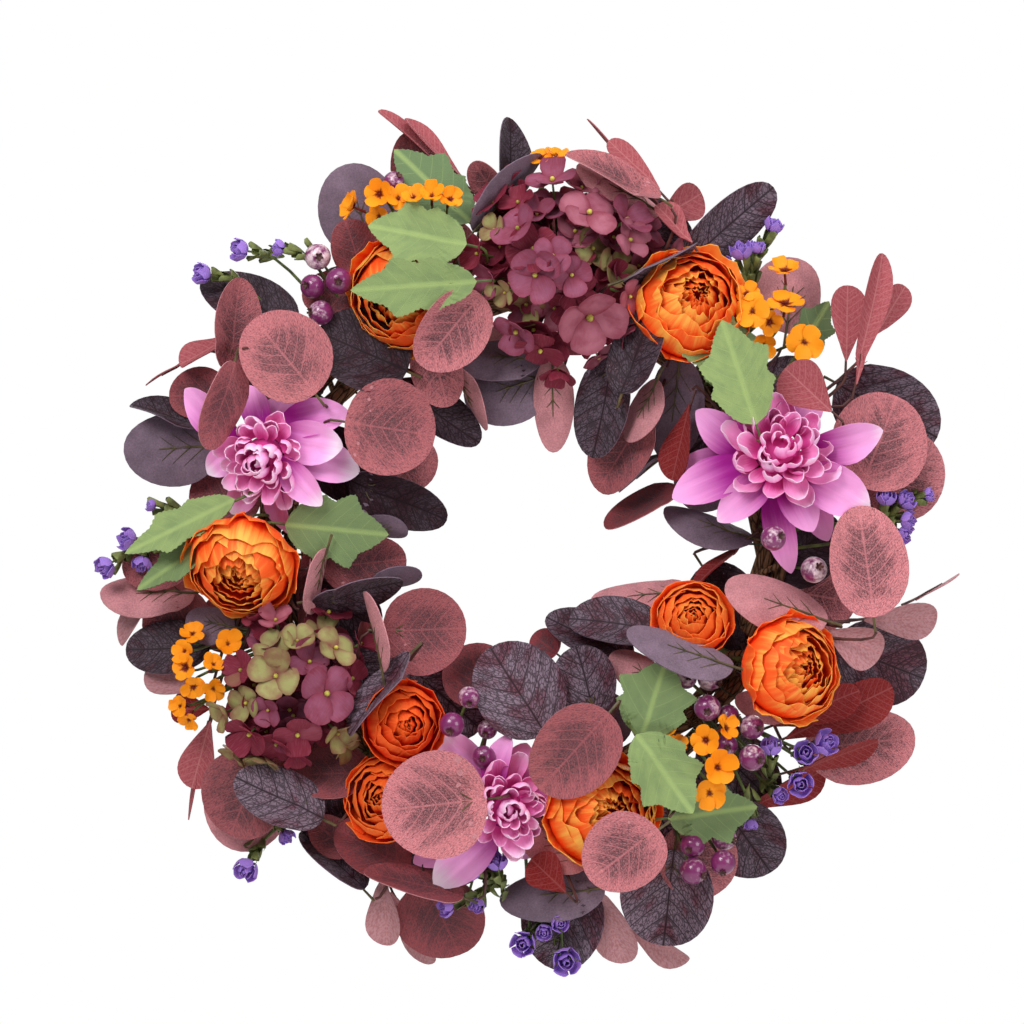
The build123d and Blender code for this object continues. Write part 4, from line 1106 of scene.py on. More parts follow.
def plain_cloth(name, base):
    """Dyed polyester cloth, the unprinted side: an even colour, clouded a little, with its weave."""
    material, tree = new_material(name)
    place = add(tree, "ShaderNodeTexCoord")
    # clouds about 12 mm across and fibres about 1 mm
    clouds = add(tree, "ShaderNodeTexNoise", {"Vector": place, "Scale": 85.0, "Detail": 3.0})
    fibres = add(tree, "ShaderNodeTexNoise", {"Vector": place, "Scale": 1100.0, "Detail": 1.0})
    both = add(tree, "ShaderNodeMath", {0: clouds, 1: fibres}, operation="ADD")
    share = add(tree, "ShaderNodeMapRange", {"Value": both, "From Min": 0.7, "From Max": 1.3})
    dark = toned(base, 1 - 1.6 * MOTTLE)
    light = toned(base, 1 + MOTTLE)
    final = add(tree, "ShaderNodeMix", {0: share, 6: dark, 7: light})
    shader = add(tree, "ShaderNodeBsdfPrincipled", {"Base Color": final, "Roughness": 0.78,
                                                   "Specular IOR Level": 0.2, "Sheen Weight": 0.05})
    return finish_material(material, tree, shader, cloth_relief(tree), 0.25, 0.0003)


def paddle_print(name):
    """Polyester cloth, printed with fine pale veins over a rose, mauve or wine-red ground, which the
    tint chooses: below 0.33 rose, below 0.66 mauve, above that wine red."""
    palette = colours()
    material, tree = new_material(name)
    away, chevron, own, tint = blade_print(tree)
    lines = vein_lines(tree, away, chevron, 4.6, (0.0, 0.09), (0.2, 0.7))
    net = add(tree, "ShaderNodeTexVoronoi", {"Vector": own, "Scale": 0.55}, feature="DISTANCE_TO_EDGE")
    fine = add(tree, "ShaderNodeMapRange", {"Value": net, "From Min": 0.0,
                                           "From Max": 0.12, "To Min": 0.5, "To Max": 0.0})
    lines = add(tree, "ShaderNodeMath", {0: lines, 1: fine}, operation="MAXIMUM")
    is_mauve = add(tree, "ShaderNodeMath", {0: tint, 1: 0.33}, operation="GREATER_THAN")
    is_wine = add(tree, "ShaderNodeMath", {0: tint, 1: 0.66}, operation="GREATER_THAN")
    ground = add(tree, "ShaderNodeMix", {0: is_mauve, 6: palette.paddle_rose, 7: palette.paddle_mauve})
    ground = add(tree, "ShaderNodeMix", {0: is_wine, 6: ground, 7: palette.paddle_wine})
    specks = add(tree, "ShaderNodeTexNoise", {"Vector": own, "Scale": 0.8, "Detail": 3.0})
    speck = add(tree, "ShaderNodeMapRange", {"Value": specks, "From Min": 0.42, "From Max": 0.64,
                                            "To Min": 0.0, "To Max": 0.4})
    ground = add(tree, "ShaderNodeMix", {0: speck, 6: ground, 7: palette.paddle_wine})
    pale = add(tree, "ShaderNodeMapRange", {"Value": tint, "From Min": 0.4, "From Max": 1.0, "To Min": 0.42,
                                           "To Max": 0.2})
    pale = add(tree, "ShaderNodeMath", {0: lines, 1: pale}, operation="MULTIPLY")
    final = add(tree, "ShaderNodeMix", {0: pale, 6: ground, 7: palette.paddle_vein})
    shader = add(tree, "ShaderNodeBsdfPrincipled", {"Base Color": final, "Roughness": 0.7,
                                                   "Specular IOR Level": 0.2})
    return finish_material(material, tree, shader, lines, 0.3, 0.0003)


def green_print(name):
    """Polyester cloth, dyed and pressed: a dusty green, light to dark by the tint, with pressed veins
    and a yellow-green midrib."""
    palette = colours()
    material, tree = new_material(name)
    away, chevron, own, tint = blade_print(tree)
    lines = vein_lines(tree, away, chevron, 9.0, (0.0, 0.06), (0.3, 2.6), 0.45, "SMOOTHSTEP")
    ground = add(tree, "ShaderNodeMix", {0: tint, 6: palette.green_light, 7: palette.green_dark})
    clouds = add(tree, "ShaderNodeTexNoise", {"Vector": own, "Scale": 0.12, "Detail": 3.0})
    cloud = add(tree, "ShaderNodeMapRange", {"Value": clouds, "From Min": 0.4, "From Max": 0.7,
                                            "To Min": 0.0, "To Max": 0.4})
    ground = add(tree, "ShaderNodeMix", {0: cloud, 6: ground, 7: palette.green_dark})
    pale = add(tree, "ShaderNodeMath", {0: lines, 1: 0.55}, operation="MULTIPLY")
    final = add(tree, "ShaderNodeMix", {0: pale, 6: ground, 7: palette.green_vein})
    shader = add(tree, "ShaderNodeBsdfPrincipled", {"Base Color": final, "Roughness": 0.7,
                                                   "Specular IOR Level": 0.2})
    rise = add(tree, "ShaderNodeMath", {0: lines, 1: cloth_relief(tree)}, operation="SUBTRACT")
    return finish_material(material, tree, shader, rise, 0.4, 0.0006)


def petal_cloth(name, deep, middle, tip, first, last, streaks, stretch=(7.0, 0.7, 1.0), drop=0.25):
    """Dyed polyester cloth of a petal, shaded from its claw to its edge with fine streaks along it,
    as a brush leaves them. The petal's v coordinate is 0 at the claw and 1 at the edge, and a tint of 1
    draws the shading towards the edge by drop. The middle colour is reached at first and the tip's at
    last, and a streak moves both by up to streaks."""
    material, tree = new_material(name)
    place = add(tree, "ShaderNodeUVMap", uv_map="Print")
    v = add(tree, "ShaderNodeSeparateXYZ", {0: place}).node.outputs[1]
    tint = add(tree, "ShaderNodeAttribute", attribute_name="tint")
    streak_place = add(tree, "ShaderNodeMapping", {"Vector": place, "Scale": stretch})
    streak = add(tree, "ShaderNodeTexNoise", {"Vector": streak_place, "Scale": 1.6, "Detail": 4.0})
    offset = add(tree, "ShaderNodeMapRange", {"Value": streak, "To Min": -streaks, "To Max": streaks})
    level = add(tree, "ShaderNodeMath", {0: v, 1: offset}, operation="ADD")
    drift = add(tree, "ShaderNodeMath", {0: tint, 1: -drop, 2: level}, operation="MULTIPLY_ADD")
    low = add(tree, "ShaderNodeMapRange", {"Value": drift, "From Min": 0.0, "From Max": first},
              interpolation_type="SMOOTHSTEP")
    high = add(tree, "ShaderNodeMapRange", {"Value": drift, "From Min": first, "From Max": last},
               interpolation_type="SMOOTHSTEP")
    base = add(tree, "ShaderNodeMix", {0: low, 6: deep, 7: middle})
    final = add(tree, "ShaderNodeMix", {0: high, 6: base, 7: tip})
    shader = add(tree, "ShaderNodeBsdfPrincipled", {
        "Base Color": final, "Roughness": 0.58, "Specular IOR Level": 0.2,
        "Subsurface Weight": 0.12, "Subsurface Radius": (1.0, 0.4, 0.3), "Subsurface Scale": 0.002})
    return finish_material(material, tree, shader, streak, 0.35, 0.0006)


def floret_cloth(name):
    """Dyed polyester cloth of the hydrangea, mottled: the tint chooses mauve, pink, wine red or green,
    and darker veins fan from the claw."""
    palette = colours()
    material, tree = new_material(name)
    place = add(tree, "ShaderNodeUVMap", uv_map="Print")
    v = add(tree, "ShaderNodeSeparateXYZ", {0: place}).node.outputs[1]
    tint = add(tree, "ShaderNodeAttribute", attribute_name="tint")
    ground = palette.floret_mauve
    shades = (0.25, palette.floret_pink), (0.5, palette.floret_wine), (0.75, palette.floret_green)
    for limit, shade in shades:
        share = add(tree, "ShaderNodeMapRange", {"Value": tint, "From Min": limit - 0.04,
                                                 "From Max": limit + 0.04})
        ground = add(tree, "ShaderNodeMix", {0: share, 6: ground, 7: shade})
    body = add(tree, "ShaderNodeTexCoord")
    clouds = add(tree, "ShaderNodeTexNoise", {"Vector": body, "Scale": 110.0, "Detail": 4.0})
    cloud = add(tree, "ShaderNodeMapRange", {"Value": clouds, "From Min": 0.42, "From Max": 0.66,
                                            "To Min": 0.0, "To Max": 0.55})
    ground = add(tree, "ShaderNodeMix", {0: cloud, 6: ground, 7: palette.floret_wine})
    vein_place = add(tree, "ShaderNodeMapping", {"Vector": place, "Scale": (14.0, 1.2, 1.0)})
    veins = add(tree, "ShaderNodeTexNoise", {"Vector": vein_place, "Scale": 1.5, "Detail": 3.0})
    vein = add(tree, "ShaderNodeMapRange", {"Value": veins, "From Min": 0.5, "From Max": 0.72,
                                           "To Min": 0.0, "To Max": 0.35})
    ground = add(tree, "ShaderNodeMix", {0: vein, 6: ground, 7: palette.floret_pink})
    throat = add(tree, "ShaderNodeMapRange", {"Value": v, "From Min": 0.0, "From Max": 0.45,
                                             "To Min": 0.55, "To Max": 0.0})
    ground = add(tree, "ShaderNodeMix", {0: throat, 6: ground, 7: palette.floret_wine})
    rim = add(tree, "ShaderNodeAttribute", attribute_name="rim")
    edge = add(tree, "ShaderNodeMapRange", {"Value": rim, "From Min": 0.62, "From Max": 1.0,
                                           "To Min": 0.0, "To Max": 0.5})
    final = add(tree, "ShaderNodeMix", {0: edge, 6: ground, 7: palette.floret_wine})
    shader = add(tree, "ShaderNodeBsdfPrincipled", {
        "Base Color": final, "Roughness": 0.66, "Specular IOR Level": 0.2,
        "Subsurface Weight": 0.08, "Subsurface Radius": (1.0, 0.4, 0.4), "Subsurface Scale": 0.002})
    return finish_material(material, tree, shader, veins, 0.3, 0.0004)


def berry_paint(name):
    """A foam ball dipped in gloss paint, pale with violet brushed on in patches and streaks. The paint
    gives a clear, slightly uneven gloss."""
    palette = colours()
    material, tree = new_material(name)
    place = add(tree, "ShaderNodeTexCoord")
    tint = add(tree, "ShaderNodeAttribute", attribute_name="tint")
    # patches about 8 mm across, streaks about 1.5 mm
    patches = add(tree, "ShaderNodeTexNoise", {"Vector": place, "Scale": 120.0, "Detail": 3.0,
                                              "Distortion": 0.8})
    streaks = add(tree, "ShaderNodeTexNoise", {"Vector": place, "Scale": 520.0, "Detail": 2.0})
    mixed = add(tree, "ShaderNodeMath", {0: streaks, 1: 0.5, 2: patches},
                operation="MULTIPLY_ADD")
    leaned = add(tree, "ShaderNodeMath", {0: tint, 1: 0.35, 2: mixed}, operation="MULTIPLY_ADD")
    share = add(tree, "ShaderNodeMapRange", {"Value": leaned, "From Min": 0.58, "From Max": 0.92},
                interpolation_type="SMOOTHSTEP")
    final = add(tree, "ShaderNodeMix", {0: share, 6: palette.berry_pale, 7: palette.berry_violet})
    shader = add(tree, "ShaderNodeBsdfPrincipled", {"Base Color": final, "Roughness": 0.28,
                                                   "Coat Weight": 0.5, "Coat Roughness": 0.12})
    return finish_material(material, tree, shader, streaks, 0.12, 0.0004)


def moulded_plastic(name, base):
    """Soft polyethylene, moulded over wire: a little waxy, with fine flow lines and uneven colour."""
    material, tree = new_material(name)
    place = add(tree, "ShaderNodeTexCoord")
    clouds = add(tree, "ShaderNodeTexNoise", {"Vector": place, "Scale": 160.0, "Detail": 3.0})
    dark = toned(base, 0.55)
    light = toned(base, 1.3)
    share = add(tree, "ShaderNodeMapRange", {"Value": clouds, "From Min": 0.35, "From Max": 0.65})
    final = add(tree, "ShaderNodeMix", {0: share, 6: dark, 7: light})
    shader = add(tree, "ShaderNodeBsdfPrincipled", {"Base Color": final, "Roughness": 0.5,
                                                   "Specular IOR Level": 0.4})
    grain = add(tree, "ShaderNodeTexNoise", {"Vector": place, "Scale": 900.0, "Detail": 2.0})
    return finish_material(material, tree, shader, grain, 0.25, 0.0003)


def vine_bark(name, base, cracks):
    """Dried grapevine with its bark on: long fibres and cracks about 3 mm apart, dull and dry."""
    material, tree = new_material(name)
    place = add(tree, "ShaderNodeTexCoord")
    # fibres run round the ring, so the pattern reads the angle round it, the radius and the depth
    centred = add(tree, "ShaderNodeMapping", {"Vector": place, "Location": tuple(-RING_MIDDLE)})
    x, y, z = add(tree, "ShaderNodeSeparateXYZ", {0: centred}).node.outputs
    angle = add(tree, "ShaderNodeMath", {0: x, 1: z}, operation="ARCTAN2")
    run = add(tree, "ShaderNodeMath", {0: angle, 1: RING_RADIUS * 0.18}, operation="MULTIPLY")
    radius = add(tree, "ShaderNodeVectorMath", {0: centred}, operation="LENGTH").node.outputs["Value"]
    bent = add(tree, "ShaderNodeCombineXYZ", {0: run, 1: radius, 2: y})
    fibres = add(tree, "ShaderNodeTexNoise", {"Vector": bent, "Scale": 420.0, "Detail": 6.0,
                                             "Roughness": 0.65})
    split = add(tree, "ShaderNodeTexVoronoi", {"Vector": bent, "Scale": 330.0}, feature="DISTANCE_TO_EDGE")
    crack = add(tree, "ShaderNodeMapRange", {"Value": split, "From Min": 0.0,
                                            "From Max": 0.16, "To Min": 1.0, "To Max": 0.0})
    light = toned(base, 1.7)
    share = add(tree, "ShaderNodeMapRange", {"Value": fibres, "From Min": 0.35, "From Max": 0.7})
    ground = add(tree, "ShaderNodeMix", {0: share, 6: base, 7: light})
    final = add(tree, "ShaderNodeMix", {0: crack, 6: ground, 7: cracks})
    shader = add(tree, "ShaderNodeBsdfPrincipled", {"Base Color": final, "Roughness": 0.85,
                                                   "Specular IOR Level": 0.2})
    depth = add(tree, "ShaderNodeMath", {0: fibres, 1: crack}, operation="SUBTRACT")
    return finish_material(material, tree, shader, depth, 0.8, 0.0015)


def papered_wire(name, base):
    """Florist's wire wound with waxed paper tape: dull green with the tape's edges 2 mm apart."""
    material, tree = new_material(name)
    place = add(tree, "ShaderNodeTexCoord")
    turns = add(tree, "ShaderNodeTexWave", {"Vector": place, "Scale": 160.0, "Distortion": 1.0})
    final = add(tree, "ShaderNodeMix", {0: turns, 6: toned(base, 0.6), 7: base})
    shader = add(tree, "ShaderNodeBsdfPrincipled", {"Base Color": final, "Roughness": 0.8})
    return finish_material(material, tree, shader, turns, 0.4, 0.0003)


def galvanised_wire(name, base):
    """Drawn steel wire, hot-dip galvanised: bright grey metal, clouded by its zinc spangle."""
    material, tree = new_material(name)
    place = add(tree, "ShaderNodeTexCoord")
    spangle = add(tree, "ShaderNodeTexVoronoi", {"Vector": place, "Scale": 500.0}, feature="F1")
    final = add(tree, "ShaderNodeMix", {0: spangle, 6: toned(base, 0.75), 7: base})
    shader = add(tree, "ShaderNodeBsdfPrincipled", {"Base Color": final, "Metallic": 1.0, "Roughness": 0.38})
    return finish_material(material, tree, shader, spangle, 0.15, 0.0002)


# ---------------------------------------------------------------- operators
# Darkness of the red leaves near a spot on the face, from salmon to wine red: partly the leaves' own
# wine-red dye, partly painted shade on leaves that lie in shadow and painted light on leaves that face the
# lamps.
RED_SPOTS = (
    (-0.94, 0.77, 0.43), (-0.54, 0.47, 0.43), (-0.36, -1.03, 0.21), (1.34, -0.07, 0.0),
    (0.18, -0.79, 0.69), (1.50, 0.40, 0.21), (1.62, 0.25, 0.21), (0.38, -1.22, 0.16),
    (-0.43, -0.30, 0.65), (1.44, -0.80, 0.25), (-1.14, 0.92, 0.56), (-1.18, 0.60, 0.65),
    (-0.31, 0.87, 0.34), (0.51, 0.22, 0.87), (0.40, 0.45, 0.65), (-0.34, -1.50, 0.78),
    (-0.64, -1.40, 0.82), (-0.62, -0.92, 0.82), (-1.20, -1.02, 0.65), (-1.02, -1.10, 0.56),
    (0.14, -1.28, 0.91), (0.87, -1.22, 0.38), (0.10, 1.60, 0.56), (0.35, 1.45, 0.43),
    (-0.48, 1.65, 0.65), (-0.08, -0.68, 0.87), (-0.66, -0.10, 0.78), (-0.26, -0.62, 0.82),
    (0.5, 0.05, 0.56), (0.62, 1.40, 0.56), (-1.38, 0.10, 0.65), (-1.5, -0.34, 0.65),
    (-1.15, -0.20, 0.74), (0.95, 1.1, 0.74), (-0.8, 1.2, 0.74),
)


class WREATH_OT_red_leaves(Operator):
    """Make the red eucalyptus leaves: printed faces, plain rose backs and moulded ribs"""

    bl_idname = "wreath.red_leaves"
    bl_label = "Red Leaves"

    def execute(self, context):
        c = colours()
        materials = [red_print("printed_red_cloth", c.red_face, c.red_stroke, c.red_shade),
                     plain_cloth("plain_rose_cloth", c.red_back), moulded_plastic("moulded_rib", c.rib)]
        make_leaves("red_leaves", round_outline, materials, RED_SPOTS, 0.12)
        return {"FINISHED"}


# Darkness of the plum leaves near a spot on the face.
PLUM_SPOTS = (
    (-0.66, 0.77, 0.75), (-0.30, 0.60, 0.7), (-0.53, 0.19, 0.75), (-1.15, 1.02, 0.8), (-1.45, 0.52, 0.7),
    (0.86, 1.31, 0.35), (0.36, 0.70, 0.7), (0.45, 0.50, 0.65), (-0.04, 1.63, 0.6), (-0.03, -0.60, 0.05),
    (0.26, -0.56, 0.1), (0.20, -0.32, 0.45), (0.38, -0.32, 0.4), (-0.48, -0.12, 0.6), (-0.5, -0.6, 0.15),
    (-0.97, -0.99, 0.25), (0.56, -1.40, 0.1), (0.12, -1.55, 0.2), (0.94, -1.18, 0.35),
    (1.45, -0.47, 0.25), (-0.78, -1.25, 0.4), (1.45, 0.60, 0.45), (-1.47, -0.40, 0.6), (0.85, 0.05, 0.8),
)


class WREATH_OT_plum_leaves(Operator):
    """Make the plum eucalyptus leaves: crackled faces, plain mauve backs and moulded ribs"""

    bl_idname = "wreath.plum_leaves"
    bl_label = "Plum Leaves"

    def execute(self, context):
        c = colours()
        materials = [plum_print("printed_plum_cloth", c.plum_face, c.plum_crackle, c.plum_fleck),
                     plain_cloth("plain_mauve_cloth", c.plum_back), moulded_plastic("moulded_rib", c.rib)]
        make_leaves("plum_leaves", round_outline, materials, PLUM_SPOTS, 0.1)
        return {"FINISHED"}


# Colour of the paddle leaves near a spot on the face: 0 rose, 0.5 mauve, 1 wine red.
PADDLE_SPOTS = (
    (1.30, 0.90, 0.0), (1.13, 0.63, 0.0), (0.60, 1.45, 0.0), (-1.30, 0.75, 0.0), (-0.4, 1.5, 0.0),
    (1.50, -0.28, 0.5), (1.32, -0.38, 0.5), (-1.40, -0.56, 0.5), (-1.5, -0.3, 0.5), (0.34, -1.52, 0.5),
    (0.53, -1.60, 0.5), (-0.56, -1.47, 0.5), (-0.45, -1.58, 0.5), (-1.3, -0.9, 0.0), (1.27, -0.65, 1.0),
    (1.24, -0.85, 1.0), (1.06, -1.0, 1.0), (0.1, -1.32, 1.0), (0.65, 0.4, 1.0), (0.8, -0.1, 1.0),
    (-1.35, -0.66, 1.0), (-1.28, -0.66, 1.0),
)


class WREATH_OT_paddle_leaves(Operator):
    """Make the paddle leaves: rose, mauve and wine-red blades with fine pale veins"""

    bl_idname = "wreath.paddle_leaves"
    bl_label = "Paddle Leaves"

    def execute(self, context):
        cloth = paddle_print("veined_paddle_cloth")
        materials = [cloth, cloth, moulded_plastic("moulded_brown_rib", colours().stem_brown)]
        make_leaves("paddle_leaves", paddle_outline, materials, PADDLE_SPOTS, rings=4, cup=0.16)
        return {"FINISHED"}


# Darkness of the lobed green leaves near a spot on the face.
GREEN_SPOTS = (
    (-0.37, 1.43, 0.85), (-0.42, 1.22, 0.12), (-0.44, 1.02, 0.2), (0.77, 0.78, 0.2), (0.85, 0.68, 0.0),
    (0.82, 0.81, 0.6), (1.16, 0.87, 0.9), (-1.37, 0.07, 0.05), (-1.34, -0.05, 0.5), (-0.75, 0.06, 0.62),
    (0.51, -0.61, 0.55), (0.55, -0.9, 0.15), (0.75, -1.07, 0.65),
)


class WREATH_OT_green_leaves(Operator):
    """Make the lobed, toothed green leaves of the flower picks"""

    bl_idname = "wreath.green_leaves"
    bl_label = "Green Leaves"

    def execute(self, context):
        cloth = green_print("pressed_green_cloth")
        materials = [cloth, plain_cloth("plain_green_cloth", colours().green_dark),
                     moulded_plastic("moulded_green_rib", colours().stem_green)]
        make_leaves("green_leaves", lobed_outline, materials, GREEN_SPOTS, rings=6, cup=0.06)
        return {"FINISHED"}


# How the solids of each kind of flower are read, and how thick its stem is at the ring.
FLOWER_STEMS = (
    ("green_leaves", read_blade, 1.3 * MM), ("peony", read_head, 2.2 * MM), ("rose", read_head, 2.2 * MM),
    ("dahlia_heart", read_head, 2.2 * MM), ("hydrangea", None, 2.4 * MM), ("berries", read_head, 1.3 * MM),
    ("blossoms", read_floret, 1.3 * MM), ("violets", read_head, 1.3 * MM),
)
FLOWER_STEM_END = 0.6  # how thick a flower's stem ends, as a share of how thick it starts
HUB_STEM_END = 2.2 * MM  # a hydrangea's stem hardly tapers


class WREATH_OT_stems(Operator):
    """Make the wire-cored stems from the vine ring to every leaf and head"""

    bl_idname = "wreath.stems"
    bl_label = "Stems"

    def execute(self, context):
        s = sizes()
        tree = NEIGHBOURS.whole()
        leaves = Skin()
        for kind in ("red_leaves", "plum_leaves", "paddle_leaves"):
            for node in nodes_named(kind):
                rng = draws(node + "_stems")
                places = [read_blade(*solid) for solid in solids_of(node)]
                drift = group_angle([place["base"] for place in places])
                for place in places:
                    stalk = place["base"] - place["along"] * PETIOLE
                    add_stem(leaves, tree, stalk, place["along"], drift, rng, s.stem, s.twig)
        brown = moulded_plastic("moulded_brown_stem", colours().stem_brown)
        finish_piece(leaves.make("leaf_stems_moulded", [brown]), "leaf_stems")
        flowers = Skin()
        for kind, reader, thick in FLOWER_STEMS:
            for node in nodes_named(kind):
                rng = draws(node + "_stems")
                if reader is None:
                    hub = hydrangea_hub(node)
                    add_stem(flowers, tree, hub, np.array([0, -1.0, 0]), group_angle([hub]), rng,
                             thick, HUB_STEM_END)
                    continue
                places = [reader(*solid) for solid in solids_of(node)]
                ends = [place.get("neck", place.get("base")) for place in places]
                drift = group_angle(ends)
                for place, end in zip(places, ends):
                    direction = place.get("axis", place.get("along"))
                    start = end - direction * PETIOLE if reader is read_blade else end
                    add_stem(flowers, tree, start, direction, drift, rng, thick, thick * FLOWER_STEM_END)
        green = moulded_plastic("moulded_green_stem", colours().stem_green)
        finish_piece(flowers.make("flower_stems_moulded", [green]), "flower_stems")
        return {"FINISHED"}


PEONY_SPOTS = ((0.0, 0.0, 0.0),)  # darkness of the peonies, the same everywhere


class WREATH_OT_peonies(Operator):
    """Make the peony heads of nested, cupped petals, on their green stalks"""

    bl_idname = "wreath.peonies"
    bl_label = "Peonies"

    def execute(self, context):
        c = colours()
        cloth = petal_cloth("shaded_peony_cloth", c.peony_deep, c.peony_mid, c.peony_tip, 0.58, 1.12, 0.42,
                            (5.0, 0.9, 1.0), 0.6)
        make_heads("peony", cloth, PEONY_LAYERS, 12, 0.95, 2.2, PEONY_SPOTS)
        return {"FINISHED"}


ROSE_SPOTS = ((0.68, -0.30, 0.0), (-0.48, -0.72, 0.9), (-0.55, -1.02, 0.2))  # darkness of the roses


class WREATH_OT_roses(Operator):
    """Make the rose heads of many close petals"""

    bl_idname = "wreath.roses"
    bl_label = "Roses"

    def execute(self, context):
        c = colours()
        cloth = petal_cloth("shaded_rose_cloth", c.rose_deep, c.rose_mid, c.peony_tip, 0.62, 1.45, 0.35,
                            (5.0, 0.9, 1.0), 0.45)
        make_heads("rose", cloth, ROSE_LAYERS, 10, 1.0, 2.0, ROSE_SPOTS)
        return {"FINISHED"}


class WREATH_OT_dahlias(Operator):
    """Make the dahlias: pointed ray petals and a heart of curled petals"""

    bl_idname = "wreath.dahlias"
    bl_label = "Dahlias"

    def execute(self, context):
        c = colours()
        ray = petal_cloth("shaded_ray_cloth", c.ray_throat, c.ray, c.ray_tip, 0.66, 0.95, 0.10,
                          (9.0, 0.5, 1.0), 0.7)
        heart = petal_cloth("shaded_heart_cloth", c.heart_deep, c.heart, c.ray_tip, 0.45, 1.15, 0.15)
        for node in nodes_named("dahlia_rays"):
            skin = Skin()
            rng = draws(node)
            for points, triangles in solids_of(node):
                place = read_blade(points, triangles)
                size, width = place["length"] + PETIOLE, place["width"]
                base = place["base"] - place["along"] * PETIOLE
                height = ray_height(size, width, rng.uniform(0.05, 0.12), rng.uniform(0.06, 0.2),
                                    rng.uniform(0.01, 0.05), rng.uniform(0, 6.28))
                edge = ray_outline(width / size) * size
                points, top, under, rim, flat, share = disc_shell(
                    edge, np.array([size * 0.5, 0]), 7, height, sizes().petal)
                points = placed(points, base, place["along"], place["side"], place["normal"])
                uv = np.column_stack([flat[:, 1] / width, flat[:, 0] / size])
                skin.add(points, top + under + rim, 0, uv, rng.uniform(0, 0.5), share)
            finish_piece(skin.make(node + "_cloth", [ray]), node)
        for node in nodes_named("dahlia_heart"):
            skin = Skin()
            place = read_head(*solids_of(node)[0])
            add_heart_petals(skin, place, draws(node))
            add_stalk(skin, place, 1, 2.2)
            cup = moulded_plastic("moulded_green_cup", c.stem_green)
            finish_piece(skin.make(node + "_petals", [heart, cup]), node)
        return {"FINISHED"}


# Tint of the hydrangea florets near a spot on the face: 0.1 mauve, 0.37 pink, 0.62 wine red, 1 green.
FLORET_SPOTS = (
    (0.11, 1.45, 0.1), (0.25, 1.31, 0.37), (-0.12, 1.36, 0.62), (-0.02, 1.35, 0.62), (-0.02, 1.25, 0.1),
    (0.05, 1.31, 0.1), (0.04, 1.17, 0.62), (0.11, 1.14, 0.1), (0.05, 1.07, 0.1), (-0.13, 1.05, 0.1),
    (-0.18, 1.15, 0.62), (0.19, 1.07, 0.1), (0.25, 0.91, 0.37), (0.41, 0.99, 0.37), (0.41, 0.85, 0.62),
    (-0.03, 0.85, 0.1), (0.07, 0.79, 0.62), (0.13, 0.70, 0.62), (0.29, 0.75, 0.37), (0.40, 1.29, 0.1),
    (0.41, 1.21, 0.37), (0.59, 1.17, 0.37), (-0.07, 1.0, 1.0), (-0.11, 1.25, 1.0), (0.27, 1.17, 1.0),
    (-0.98, -0.52, 1.0), (-0.79, -0.59, 0.1), (-0.75, -0.41, 1.0), (-0.90, -0.39, 1.0),
    (-0.99, -0.42, 1.0), (-0.99, -0.31, 0.37), (-1.12, -0.50, 0.62), (-1.19, -0.67, 1.0),
    (-1.09, -0.75, 0.62), (-0.99, -0.79, 0.62), (-0.90, -0.75, 0.62), (-1.01, -0.65, 0.1),
    (-0.75, -0.75, 1.0), (-0.69, -0.53, 0.62), (-0.66, -0.40, 0.62), (-0.79, -0.28, 0.62),
    (-1.06, -0.30, 0.62), (-1.15, -0.83, 1.0), (-1.04, -0.85, 1.0), (-0.85, -0.47, 0.1),
)


FILL_RADII = (11.6, 14)  # least and greatest radius of a floret in a gap, in millimetres
# painted shade: the florets in the gaps are wine red three times as often, so that the gaps read dark
SHADED_FILL_TINTS = (0.1, 0.62, 0.62, 0.62)  # mauve, or three times as often wine red
SMALL_FLORET = 11.5 * MM  # a floret smaller than this is a half-open one
PEDICEL = (1.3, 0.7)  # radius of a floret's stalk at the hub and at the floret, in millimetres


def hydrangea_hub(node):
    """The middle of the hub, which is the solid of the node nearest the door."""
    hubs = [points.mean(axis=0) for points, _ in solids_of(node)]
    return max(hubs, key=lambda middle: middle[1])


def between_florets(florets, hub, rng):
    """Deeper, darker florets that fill the gaps: one behind the middle of each close pair. Their tints lean
    to wine red so that the gaps read dark: real floret colours, used as painted shade.
    """
    filled = []
    middles = np.array([place["middle"] for place in florets])
    for i, place in enumerate(florets):
        apart = np.linalg.norm(middles - place["middle"], axis=1)
        for j in np.argsort(apart)[1:3]:
            if j < i and i in np.argsort(np.linalg.norm(middles - middles[j], axis=1))[1:3]:
                continue
            middle = hub + ((middles[i] + middles[j]) / 2 - hub) * rng.uniform(0.74, 0.86)
            axis = unit(unit(middle - hub) + np.array([0, -0.5, 0]) + rng.uniform(-0.3, 0.3, 3))
            filled.append({"middle": middle, "axis": axis, "radius": rng.uniform(*FILL_RADII) * MM,
                           "tint": rng.choice(SHADED_FILL_TINTS)})
    return filled


